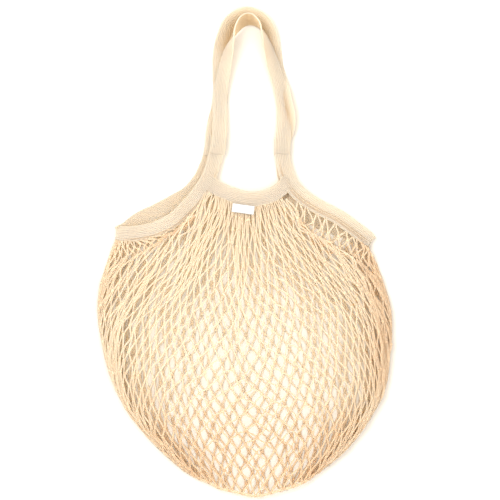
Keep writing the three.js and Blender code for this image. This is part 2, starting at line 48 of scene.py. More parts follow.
bl_info = {
    "name": "String Shopping Bag",
    "version": (1, 0, 0),
    "blender": (4, 5, 0),
    "location": "View3D > Sidebar > Bag",
    "description": "Makes a knitted net bag with ribbed bands and handles",
    "category": "Add Mesh",
}

NET_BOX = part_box("net_bag")
TAG_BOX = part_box("label_tag")

# Sizes of the net as it lies
NET_WIDTH = NET_BOX[1].x - NET_BOX[0].x
NET_LENGTH = 0.360
NET_HEIGHT = 0.027
FOLD_HEIGHT = 0.009
RESTING_SHARE = 0.78
CROWN_POWER = 3
CORNER_LEVEL = NET_BOX[0].y + NET_LENGTH

# Sizes of the mouth, bands and handles
MOUTH_WIDTH = 0.366
MOUTH_RISE = 0.126
HANDLE_SPREAD = 0.091
HANDLE_RISE = 0.203
HANDLE_SHIFT = 0.0063
BAND_WIDE = 0.021
BAND_THICK = 0.002
PLY = 0.0026

# The photograph's frame, from straight above
VIEW_WIDTH = 0.700
VIEW_CENTRE = (0.0056, 0.0014)
VIEW_HEIGHT = 2.6
SENSOR_WIDTH = 36.0


# Tables of the bands

def leg(across, up, plies, lift, lean, swing):
    """A row whose place across is a share of half the handle's spread."""
    return (HANDLE_SHIFT + across * HANDLE_SPREAD / 2, up, plies, lift, lean, swing)


def along(across, up, plies, lift, lean, swing):
    """A row whose place across is a share of half the mouth's width."""
    return (across * MOUTH_WIDTH / 2, up, plies, lift, lean, swing)


# The columns: place across; up, a share of the mouth's or the handle's rise; plies of band below;
# lift, a share of the net's height; lean on edge and swing of the free edge, in degrees
LEFT_FRONT = [
    leg(-1.0, 1.156, 2, 0.0, 0, 184),
    leg(-1.062, 0.978, 2, 0.02, 0, 176),
    leg(-1.2, 0.789, 2, 0.06, 0, 165),
    along(-0.328, 0.589, 2, 0.12, 0, 147),
    along(-0.435, 0.389, 2, 0.17, 0, 132),
    along(-0.565, 0.211, 2, 0.18, 0, 118),
    along(-0.718, 0.111, 2, 0.16, 0, 104),
    along(-0.855, 0.072, 2, 0.13, 0, 96),
    along(-0.935, 0.067, 2, 0.1, 0, 92),
]
LEFT_CORNER = along(-0.994, 0.078, 1, 0.08, 0, 94)
LEFT_BACK = [
    along(-0.935, 0.1, 0, 0.03, 0, 100),
    along(-0.824, 0.222, 0, 0.01, 0, 118),
    along(-0.695, 0.311, 0, 0.0, 0, 121),
    along(-0.573, 0.406, 0, 0.0, 0, 124),
    along(-0.45, 0.511, 0, 0.0, 0, 130),
    leg(-1.585, 0.656, 0, 0.0, 0, 145),
    leg(-1.338, 0.833, 0, 0.0, 0, 159),
    leg(-1.2, 1.0, 0, 0.0, 0, 172),
    leg(-1.154, 1.133, 0, 0.0, 0, 176),
]
RIGHT_FRONT = [
    leg(0.969, 1.133, 2, 0.0, 0, 0),
    leg(0.985, 0.978, 2, 0.02, 0, 4),
    leg(1.062, 0.8, 2, 0.06, 0, 13),
    leg(1.246, 0.622, 2, 0.12, 0, 30),
    along(0.443, 0.467, 2, 0.17, 0, 50),
    along(0.573, 0.35, 2, 0.18, 0, 60),
    along(0.71, 0.25, 2, 0.16, 0, 62),
    along(0.805, 0.149, 2, 0.13, 0, 58),
    along(0.893, 0.056, 2, 0.1, 0, 54),
]
RIGHT_CORNER = along(0.962, -0.024, 1, 0.08, 0, 56)
RIGHT_BACK = [
    along(0.901, 0.011, 0, 0.03, 0, 60),
    along(0.794, 0.078, 0, 0.01, 0, 60),
    along(0.672, 0.148, 0, 0.0, 0, 58),
    along(0.534, 0.233, 0, 0.0, 0, 55),
    along(0.42, 0.344, 0, 0.0, 0, 45),
    along(0.344, 0.489, 0, 0.0, 0, 25),
    leg(1.092, 0.667, 0, 0.0, 0, 12),
    leg(1.015, 0.856, 0, 0.0, 0, 5),
    leg(0.969, 1.044, 0, 0.0, 0, 2),
]
FRONT_RIM = [
    leg(-1.42, 0.68, 2, 0.08, 0, 50),
    leg(-1.0, 0.572, 2, 0.14, 0, 60),
    leg(-0.538, 0.5, 2, 0.23, 0, 72),
    leg(-0.046, 0.456, 2, 0.27, 0, 86),
    leg(0.354, 0.467, 2, 0.25, 0, 98),
    leg(0.754, 0.52, 2, 0.17, 0, 112),
    leg(1.2, 0.66, 2, 0.1, 0, 125),
]
BACK_RIM = [
    leg(-1.42, 0.62, 0, 0.0, 0, 56),
    leg(-1.0, 0.5, 0, 0.0, 0, 64),
    leg(-0.538, 0.433, 0, 0.0, 0, 78),
    leg(-0.046, 0.406, 0, 0.0, 0, 88),
    leg(0.446, 0.422, 0, 0.0, 0, 100),
    leg(0.846, 0.47, 0, 0.0, 0, 112),
    leg(1.25, 0.6, 0, 0.0, 0, 122),
]
FRONT_HANDLE = [
    leg(-1.031, -0.028, 3, 0.03, 0, -6),
    leg(-0.969, 0.083, 3, 0.01, 0, -6),
    leg(-0.938, 0.207, 2, 0.02, 0, -2),
    leg(-0.945, 0.345, 1, 0.02, 5, -3),
    leg(-0.892, 0.455, 1, 0.0, 15, -9),
    leg(-0.785, 0.579, 1, 0.0, 30, -13),
    leg(-0.662, 0.69, 1, 0.0, 50, -16),
    leg(-0.54, 0.766, 1, 0.04, 80, -23),
    leg(-0.385, 0.846, 1, 0.1, 115, -42),
    leg(-0.246, 0.886, 1, 0.1, 138, -62),
    leg(-0.077, 0.903, 1, 0.08, 146, -86),
    leg(0.077, 0.897, 1, 0.1, 140, -100),
    leg(0.215, 0.872, 1, 0.13, 112, -124),
    leg(0.354, 0.821, 1, 0.1, 80, -146),
    leg(0.523, 0.717, 1, 0.0, 50, -161),
    leg(0.692, 0.593, 1, 0.0, 25, -163),
    leg(0.908, 0.441, 1, 0.03, 8, -167),
    leg(1.015, 0.317, 1, 0.07, 0, -174),
    leg(1.031, 0.179, 2, 0.03, 0, -181),
    leg(1.0, 0.083, 3, 0.01, 0, -182),
    leg(0.985, -0.028, 3, 0.03, 0, -180),
]
BACK_HANDLE = [
    leg(-1.2, -0.041, 1, 0.01, 0, -4),
    leg(-1.169, 0.069, 1, 0.0, 0, -8),
    leg(-1.108, 0.179, 0, 0.04, 0, -12),
    leg(-0.985, 0.29, 0, 0.0, 0, -12),
    leg(-0.923, 0.386, 0, 0.0, 0, -2),
    leg(-0.938, 0.497, 0, 0.0, 0, 2),
    leg(-0.948, 0.607, 0, 0.0, 0, -2),
    leg(-0.908, 0.703, 0, 0.0, 0, -12),
    leg(-0.8, 0.793, 0, 0.01, -3, -28),
    leg(-0.662, 0.865, 0, 0.01, -8, -40),
    leg(-0.446, 0.917, 0, 0.01, -18, -60),
    leg(-0.077, 0.946, 0, 0.01, -28, -90),
    leg(0.292, 0.915, 0, 0.01, -32, -115),
    leg(0.508, 0.858, 0, 0.01, -26, -140),
    leg(0.646, 0.769, 0, 0.01, -14, -158),
    leg(0.732, 0.669, 0, 0.0, 0, -170),
    leg(0.8, 0.559, 0, 0.0, 0, -170),
    leg(0.93, 0.455, 0, 0.0, -12, -162),
    leg(1.07, 0.345, 0, 0.0, -32, -165),
    leg(1.178, 0.228, 0, 0.0, -32, -174),
    leg(1.154, 0.159, 0, 0.04, -16, -190),
    leg(1.031, 0.069, 1, 0.0, 0, -192),
    leg(0.954, -0.041, 1, 0.01, 0, -186),
]

# The net's outline below the corners: shares of half its width and of its length
LEFT_EDGE = [
    (-0.939, 0.062),
    (-0.99, 0.171),
    (-1.0, 0.28),
    (-0.973, 0.389),
    (-0.919, 0.514),
    (-0.824, 0.638),
    (-0.709, 0.732),
    (-0.561, 0.825),
    (-0.47, 0.875),
]
BOTTOM_EDGE = [
    (-0.47, 0.875),
    (-0.372, 0.918),
    (-0.16, 0.968),
    (0.068, 1.0),
    (0.29, 0.97),
    (0.459, 0.918),
    (0.565, 0.875),
]
RIGHT_EDGE = [
    (0.912, 0.086),
    (0.986, 0.233),
    (1.0, 0.33),
    (0.986, 0.428),
    (0.946, 0.576),
    (0.865, 0.669),
    (0.757, 0.763),
    (0.662, 0.825),
    (0.565, 0.875),
]

# How plump the front lies on its way down, as a share of its height
PLUMPNESS = [(0, 0.55), (0.2, 0.76), (0.45, 1), (0.7, 0.96), (0.88, 0.74), (1, 0.4)]

# The front's folds: from and to, on the shares of the outline; height and width as shares
FOLDS = [
    (0.28, -0.17, 0.84, 0.08, 0.24, 0.035),
    (-0.25, -0.14, -0.82, 0.06, 0.14, 0.04),
    (-0.9, 0.1, -0.86, 0.5, 0.12, 0.03),
    (0.9, 0.15, 0.88, 0.5, 0.12, 0.03),
]

# Where the front's first rows are bunched: a curve beside each side band, the middle row there,
# and how many open rows would reach as far
BUNCHES = [
    ([(0.284, -0.104), (0.50, 0.02), (0.79, 0.095)], 3.0, 1.7),
    ([(-0.264, -0.158), (-0.4125, -0.057), (-0.74, 0.05)], 2.5, 0.5),
]

# The knitting
CELLS = 48  # in a row on one face
RIM_CELLS = 12  # of them under each half of the rim
RIM_ENDS = (-0.246, 0.311)  # the rim's ends on the way from corner to corner, -1 to 1
CORNER_CELLS = (8, 5)  # crowded at the left and the right corner of the mouth
CORNER_SHARES = (0.19, 0.15)  # of the way from corner to middle that they take
HALF_ROWS = 26  # rows of knots from the mouth to the bottom
STRAND_LENGTH = 0.0182  # from knot to knot
LET_THROUGH = 0.7  # of the light that meets the cotton
CORD_STEPS = 6  # from knot to knot
CORD_SIDES = 6
CORD_CLEAR = 0.63  # of the cord's thickness that its middle line keeps above the floor
KNOT_PROFILE = [(-1, 0.72), (-0.45, 1.03), (0.45, 1.03), (1, 0.72)]  # place along and swelling
KNOT_SIDES = 8
KNOT_REACH = 0.0019  # from a knot's middle to its ends
ABOVE_FLOOR = 0.0001  # nothing lies lower

CLOSING_STEP = (0, 0.0018, 0.0009)  # from one closing cord to the other
EVEN_ROUNDS = 12  # of drawing the columns apart
RELAX_ROUNDS = 150  # of drawing the strands to one length
BUNCHED_STEP = 0.0018  # between rows that are bunched
PLY_PITCH = 0.0042  # of the cord's twist

# The bands' dressing
BAND_STEP = 0.0016  # from ring to ring
TAPER_REACH = 0.006  # of the thin ends
CORNER_REACH = 0.0035  # of the narrowing at a corner fold
CORNER_SHARE = 0.24  # of its width that a side band loses there
HANDLE_TAPER = 0.8  # of its thickness that a handle loses at its ends
STRAY = 0.0004  # from its line
CUP = 0.00035  # across it

# The tag
TAG_SIZE = (0.031, 0.012, 0.0009)
TAG_TURN = math.radians(-8)
THREAD_PITCH = 0.0005

# The studio
WORLD_LIGHT = 1.84
FLOOR_REACH = 6.0
LIGHTS = (
    ("key_light", (-1.1, 0.9, 2.0), 1.6, 52.0),
    ("fill_light", (1.3, -0.6, 2.2), 2.0, 18.0),
)


# Lines and surfaces

def smooth_line(points, shares):
    """A centripetal curve through the points, with as much of the run for each span."""
    given = np.asarray(points, float)
    held = np.vstack([2 * given[0] - given[1], given, 2 * given[-1] - given[-2]])
    at = np.clip(np.asarray(shares, float), 0, 1) * (len(given) - 1)
    span = np.minimum(at.astype(int), len(given) - 2)
    t = (at - span)[:, None]
    a, b, c, d = (held[span + step] for step in range(4))
    before, here, after = (
        np.maximum(np.linalg.norm(q - p, axis=1, keepdims=True), 1e-9) ** 0.5
        for p, q in ((a, b), (b, c), (c, d))
    )
    start = (b - a) / before - (c - a) / (before + here) + (c - b) / here
    end = (c - b) / here - (d - b) / (here + after) + (d - c) / after
    return hermite(b, c, start * here, end * here, t)


def hermite(start, end, leaving, arriving, t):
    """Points on a cubic from start to end with these directions at its ends."""
    return (
        start * (2 * t**3 - 3 * t**2 + 1)
        + leaving * (t**3 - 2 * t**2 + t)
        + end * (3 * t**2 - 2 * t**3)
        + arriving * (t**3 - t**2)
    )


def even_line(points, shares, fine=400):
    """The same curve, read at shares of its real length."""
    dense = smooth_line(points, np.linspace(0, 1, fine))
    run = np.concatenate([[0], np.cumsum(np.linalg.norm(np.diff(dense, axis=0), axis=1))])
    at = np.asarray(shares, float) * run[-1]
    return np.stack([np.interp(at, run, dense[:, axis]) for axis in range(dense.shape[1])], 1)


def unit(vectors):
    return vectors / np.maximum(np.linalg.norm(vectors, axis=-1, keepdims=True), 1e-12)


def waves(x, y, seed):
    """A smooth uneven field from about -1 to 1, with no repeat in the bag's size."""
    total = np.zeros(np.broadcast(x, y).shape)
    for step in range(5):
        turn = 1.7 * seed + 2.4 * step
        pace = 18 + 13 * step
        way = x * math.cos(turn) + y * math.sin(turn)
        total += np.sin(pace * way + 3.1 * turn) / (1.4 + step)
    return total / 1.6


def band_rows(rows, base, rise):
    """Centres of a band's rows, and their leans and swings in radians."""
    table = np.array(rows, float)
    lean = np.radians(table[:, 4])
    standing = np.abs(np.sin(lean)) * BAND_WIDE / 2 + np.abs(np.cos(lean)) * BAND_THICK / 2
    high = table[:, 2] * PLY + table[:, 3] * NET_HEIGHT + standing
    centres = np.stack([table[:, 0], CORNER_LEVEL + base + table[:, 1] * rise, high], 1)
    return centres, lean, np.radians(table[:, 5])


def mouth_rows(rows):
    return band_rows(rows, 0, MOUTH_RISE)


def handle_rows(rows):
    return band_rows(rows, MOUTH_RISE, HANDLE_RISE)


def outline(rows):
    table = np.array(rows, float)
    return np.stack([table[:, 0] * NET_WIDTH / 2, CORNER_LEVEL - table[:, 1] * NET_LENGTH], 1)


# Mesh making

def make_mesh(name, points, faces, maps=(), smooth=True):
    """A mesh object from an array of points and arrays of faces with equal corners."""
    mesh = bpy.data.meshes.new(name)
    corners = np.concatenate([np.asarray(part).ravel() for part in faces]).astype(np.int32)
    sizes = np.concatenate([np.full(len(part), np.shape(part)[1]) for part in faces])
    starts = np.concatenate([[0], np.cumsum(sizes)[:-1]]).astype(np.int32)
    mesh.vertices.add(len(points))
    mesh.vertices.foreach_set("co", np.asarray(points, np.float32).ravel())
    mesh.loops.add(len(corners))
    mesh.loops.foreach_set("vertex_index", corners)
    mesh.polygons.add(len(starts))
    mesh.polygons.foreach_set("loop_start", starts)
    for title, values in maps:
        layer = mesh.uv_layers.new(name=title)
        layer.data.foreach_set("uv", np.asarray(values, np.float32)[corners].ravel())
    mesh.polygons.foreach_set("use_smooth", np.full(len(starts), smooth))
    mesh.update(calc_edges=True)
    mesh.validate()
    made = bpy.data.objects.new(name, mesh)
    bpy.context.scene.collection.objects.link(made)
    return made


def loft_faces(rings, around, bodies=1):
    """Walls and end caps of closed tubes whose rings follow each other in the points."""
    ring, side = np.meshgrid(np.arange(rings - 1), np.arange(around), indexing="ij")
    a = (ring * around + side).ravel()
    b = (ring * around + (side + 1) % around).ravel()
    walls = np.stack([a, b, b + around, a + around], 1)
    first = np.arange(around)[None, ::-1]
    last = np.arange(around)[None, :] + (rings - 1) * around
    shift = (np.arange(bodies) * rings * around)[:, None, None]
    return [
        (walls[None] + shift).reshape(-1, 4),
        (first[None] + shift).reshape(-1, around),
        (last[None] + shift).reshape(-1, around),
    ]


def finish_piece(made, material, nodes):
    """The piece gets its finish, rides with the bag and stands for its plain solids."""
    made.data.materials.append(material)
    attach(made, "root")
    if nodes:
        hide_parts(*nodes)
    return made


# Bands

def band_frame(rows, step):
    """Stations along a band: centre, across, through and run, about step apart."""
    centres, lean, swing = rows
    rough = smooth_line(centres, np.linspace(0, 1, 500))
    length = np.linalg.norm(np.diff(rough, axis=0), axis=1).sum()
    count = max(8, int(length / step))
    shares = np.linspace(0, 1, 500)
    run = np.concatenate([[0], np.cumsum(np.linalg.norm(np.diff(rough, axis=0), axis=1))])
    shares = np.interp(np.linspace(0, run[-1], count), run, shares)
    centre = smooth_line(centres, shares)
    tangent = unit(np.gradient(centre, axis=0))
    places = np.linspace(0, 1, len(lean))
    leaning = soften(np.interp(shares, places, lean))
    swinging = soften(np.interp(shares, places, swing))
    level = np.stack([np.cos(swinging), np.sin(swinging), np.zeros(count)], 1)
    level = unit(level - tangent * (level * tangent).sum(1, keepdims=True))
    upright = np.cross(level, tangent)
    across = level * np.cos(leaning)[:, None] + upright * np.sin(leaning)[:, None]
    through = np.cross(across, tangent)
    return centre, across, through, np.linspace(0, run[-1], count)


def soften(values, reach=5):
    """A running mean that keeps both ends."""
    padded = np.concatenate([np.full(reach, values[0]), values, np.full(reach, values[-1])])
    return np.convolve(padded, np.full(2 * reach + 1, 1 / (2 * reach + 1)), "valid")


def fade_in(share, start, end, reach):
    """1 from start to end of a run's shares, and fading to 0 at both."""
    return np.clip(np.minimum(share - start, end - share) / reach, 0, 1)[:, None]


def ribbon(name, rows, knit, seed, creases=(), patches=(), face_shades=(), taper=0.0, rounded=0.0):
    """A ribbed band: lengthwise ribs, thick rolled edges, creases along it and sewn patches.

    creases are (from run share, to run share, place across, depth, width), each also painted as a line of
    shade;
    patches are (from run share, to run share, swelling); taper is how much the ends thin out
    and rounded how much the band narrows where it is folded at a corner;
    face_shades are (from run share, to run share, painted shade on one face, on the other, slant of the
    first across the band).
    """
    centre, across, through, run = band_frame(rows, BAND_STEP)
    count = len(centre)
    share = run / run[-1]
    half = np.linspace(-1, 1, 4 * knit.ribs + 5)
    edge = np.sqrt(np.clip(1 - np.abs(half) ** 14, 0, 1))
    thin = 1 - taper * np.exp(-((np.minimum(run, run[-1] - run) / TAPER_REACH) ** 2))[:, None]
    rolled = 1 + knit.rolled_edge * np.exp(-(((np.abs(half) - 0.9) / 0.06) ** 2))
    ribs = knit.rib_height * 0.5 * (np.cos(math.pi * knit.ribs * (half + 1)) - 1)
    thick = BAND_THICK / 2 * edge * rolled + ribs * edge * (np.abs(half) < 0.86)
    depth = thick * thin
    for start, end, place, deep, wide in creases:
        depth = depth - fade_in(share, start, end, 0.03) * deep * np.exp(-(((half - place) / wide) ** 2))
    for start, end, swell in patches:
        fade = fade_in(share, start, end, 0.008)
        rows_sewn = 0.6 + 0.4 * np.cos(2 * math.pi * run / knit.sewn_pitch)[:, None]
        depth = depth + fade * swell * rows_sewn * edge
    wide = 1 + 0.025 * waves(run, run * 0, seed) + 0.012 * np.sin(run / 0.0043 + seed)
    fold = run - run[np.argmax(np.abs(centre[:, 0]))]
    wide = BAND_WIDE / 2 * wide * (1 - rounded * np.exp(-((fold / CORNER_REACH) ** 2)))
    stray = STRAY * waves(run, run * 0 + 0.3, seed + 2)[:, None]
    plane = centre + across * stray + through * (stray - (1 - thin) * BAND_THICK)
    cup = CUP * waves(run[:, None] * 2, half[None] * 0.02, seed + 4) * edge
    flat = plane[:, None] + across[:, None] * (wide[:, None] * half[None])[..., None]
    flat = flat + through[:, None] * cup[..., None]
    top = flat + through[:, None] * np.maximum(depth, 0.00012)[..., None]
    under = flat - through[:, None] * np.maximum(depth, 0.00012)[..., None]
    rings = np.concatenate([top, under[:, ::-1]], 1)
    rings[..., 2] = np.maximum(rings[..., 2], ABOVE_FLOOR)
    around = rings.shape[1]
    uv_across = np.concatenate([half, half[::-1] + 2.4]) * BAND_WIDE / 2
    uv = np.stack([np.repeat(run, around), np.tile(uv_across, count)], 1)
    one_face = np.zeros((count, len(half)))
    other_face = np.zeros((count, len(half)))
    inside = np.clip((0.94 - np.abs(half)) / 0.1, 0, 1)
    # Painted shade along each crease, on both faces.
    for start, end, place, _, wide in creases:
        line = 0.6 * fade_in(share, start, end, 0.03) * np.exp(-(((half - place) / (1.3 * wide)) ** 2))
        one_face += line
        other_face += line
    # Painted shade on the faces, fading in at the ends; the slant darkens one face more towards one edge.
    for start, end, one, other, slant in face_shades:
        fade = fade_in(share, start, end, 0.06)
        one_face += fade * one * inside * np.clip(0.6 + slant * half, 0, 1)
        other_face += fade * other * inside
    # The painted shade goes to the fold map, which the knit's colour reads.
    tone = np.concatenate([one_face, other_face[:, ::-1]], 1).ravel()
    maps = [("run", uv), ("fold", np.stack([tone, tone], 1))]
    made = make_mesh(name, rings.reshape(-1, 3), loft_faces(count, around), maps)
    face_out(made)
    made["run"] = float(run[-1])
    return made


def face_out(made):
    """Faces turned to point outwards, told by the sign of the volume."""
    mesh = made.data
    mesh.calc_loop_triangles()
    corners = np.empty(len(mesh.loop_triangles) * 3, np.int32)
    mesh.loop_triangles.foreach_get("vertices", corners)
    points = np.empty(len(mesh.vertices) * 3, np.float32)
    mesh.vertices.foreach_get("co", points)
    a, b, c = (points.reshape(-1, 3)[corners.reshape(-1, 3)[:, side]] for side in range(3))
    if (a * np.cross(b, c)).sum() < 0:
        mesh.flip_normals()


# The net's shape

def mouth_line(side):
    """The sewn line round half the mouth: the bands' lower edges, left corner to right corner."""
    left = LEFT_FRONT if side == "front" else LEFT_BACK[::-1]
    right = RIGHT_FRONT if side == "front" else RIGHT_BACK[::-1]
    rim = FRONT_RIM if side == "front" else BACK_RIM
    carries = [row for row in left[3:9]][::-1]
    after = [row for row in right[4:9]]
    rows = [LEFT_CORNER, *carries, *rim[1:-1], *after, RIGHT_CORNER]
    centres, _, swing = mouth_rows(rows)
    across = np.stack([np.cos(swing), np.sin(swing), np.zeros(len(swing))], 1)
    return centres - across * (BAND_WIDE / 2 - 0.0012)


def spread(ring, down):
    """How far round the bag a column runs: from -1 to 1 on the front, from 1 to 3 on the back.

    The columns are crowded under the rim and nearly even at the widest part. Below it the middle
    ones are spread wide, and the outer ones are crowded along the side folds.
    """
    on_front = np.abs(ring) <= 1
    own = np.where(on_front, ring, 2 - ring)
    crowd = RIM_CELLS / (CELLS / 2)
    left, right = (1 - cells / (CELLS / 2) for cells in CORNER_CELLS)
    steps = [-1, -left, -crowd, crowd, right, 1]
    ends = [-1, CORNER_SHARES[0] - 1, *RIM_ENDS, 1 - CORNER_SHARES[1], 1]
    gathered = np.interp(own, steps, ends)
    levels = [0, 0.2, 0.34, 0.5, 0.65, 0.8, 1]
    power = np.interp(down, levels, [1.3, 1.62, 2.15, 3.0, 4.1, 5.1, 5.5])
    power = np.where(on_front, power, 0.5 * power + 0.5)
    opened = np.sign(own) * (1 - (1 - np.abs(own)) ** power)
    mix = np.clip(down / 0.34, 0, 1)
    mix = mix * mix * (3 - 2 * mix)
    place = gathered * (1 - mix) + opened * mix
    return np.where(on_front, place, 2 - place)


def face_place(turn):
    """Whether a place round the bag is on the front, and where it is between the folds."""
    on_front = np.abs(turn) <= 1
    beyond = np.where(turn > 0, 2 - turn, -2 - turn)
    return on_front, np.where(on_front, turn, beyond)


def bag_plan(turn, down):
    """The plan place of points anywhere round the bag."""
    on_front, place = face_place(turn)
    return np.where(
        on_front[..., None], net_plan("front", place, down), net_plan("back", place, down)
    )


def net_plan(side, place, down):
    """The plan place of points of the net; place runs from fold to fold, down to the bottom."""
    shape = place.shape
    ahead = np.clip((place.ravel() * 1.015 + 1) / 2, 0, 1)
    level = down.ravel()
    top = even_line(mouth_line(side)[:, :2], ahead)
    bottom = even_line(outline(BOTTOM_EDGE), ahead)
    corners = [mouth_rows([row])[0][0, :2] for row in (LEFT_CORNER, RIGHT_CORNER)]
    left = even_line(np.vstack([corners[0], outline(LEFT_EDGE)]), level)
    right = even_line(np.vstack([corners[1], outline(RIGHT_EDGE)]), level)
    u, v = ahead[:, None], level[:, None]
    ends = [outline(BOTTOM_EDGE)[0], outline(BOTTOM_EDGE)[-1]]
    plan = (1 - v) * top + v * bottom + (1 - u) * left + u * right
    plan -= (1 - v) * ((1 - u) * corners[0] + u * corners[1])
    plan -= v * ((1 - u) * ends[0] + u * ends[1])
    return plan.reshape(*shape, 2)


def plump_at(down):
    """A smooth run through the table of plumpness."""
    table = np.array(PLUMPNESS, float)
    step = np.clip(np.searchsorted(table[:, 0], down, side="left"), 1, len(table) - 1)
    low, high = table[step - 1], table[step]
    share = (down - low[..., 0]) / (high[..., 0] - low[..., 0])
    share = np.clip(share, 0, 1) ** 2 * (3 - 2 * np.clip(share, 0, 1))
    return low[..., 1] + (high[..., 1] - low[..., 1]) * share


def fold_rise(plan):
    """How much the folds lift the front, from the distance to their lines."""
    rise = np.zeros(plan.shape[:-1])
    for from_x, from_down, to_x, to_down, high, wide in FOLDS:
        start, end = outline([(from_x, from_down), (to_x, to_down)])
        way = end - start
        share = np.clip(((plan - start) @ way) / (way @ way), 0, 1)
        off = np.linalg.norm(plan - (start + share[..., None] * way), axis=-1)
        rise += high * NET_HEIGHT * np.exp(-((off / (wide * NET_WIDTH)) ** 2))
    return rise


def net_rise(side, place, down, plan, inset):
    """The height of the net's middle line over the floor."""
    fold = FOLD_HEIGHT / 2
    edge = np.clip(np.abs(place), 0, 1)
    if side == "back":
        turning = np.clip((edge - RESTING_SHARE) / (1 - RESTING_SHARE), 0, 1)
        return fold - (fold - inset) * np.sqrt(1 - turning**2)
    crown = np.sqrt(1 - edge**CROWN_POWER)
    relief = fold_rise(plan) * crown
    return fold + (NET_HEIGHT * plump_at(down) - inset - fold) * crown + relief


def column_ways():
    """The way of every half column down the bag, and the rows that it has passed at each step."""
    ring = (np.arange(4 * CELLS) + 0.5) / CELLS - 1
    down = np.tile(np.linspace(0, 1, 121), (len(ring), 1))
    turn = spread(ring[:, None], down)
    plan = bag_plan(turn, down)
    step = np.diff(plan, axis=1)
    length = np.linalg.norm(step, axis=2)
    beside = np.roll(plan, -1, 0) - np.roll(plan, 1, 0)
    beside = (beside[:, 1:] + beside[:, :-1]) / 2
    ahead = unit(step)
    wide = np.linalg.norm(beside - ahead * (beside * ahead).sum(2, keepdims=True), axis=2)
    tall = np.sqrt(1 - np.clip(wide / 2 / STRAND_LENGTH, 0, 0.9) ** 2)
    passed = np.concatenate([np.zeros((len(ring), 1)), np.cumsum(length / tall, axis=1)], 1)
    return plan, turn, down, passed * HALF_ROWS / passed[:, -1:]


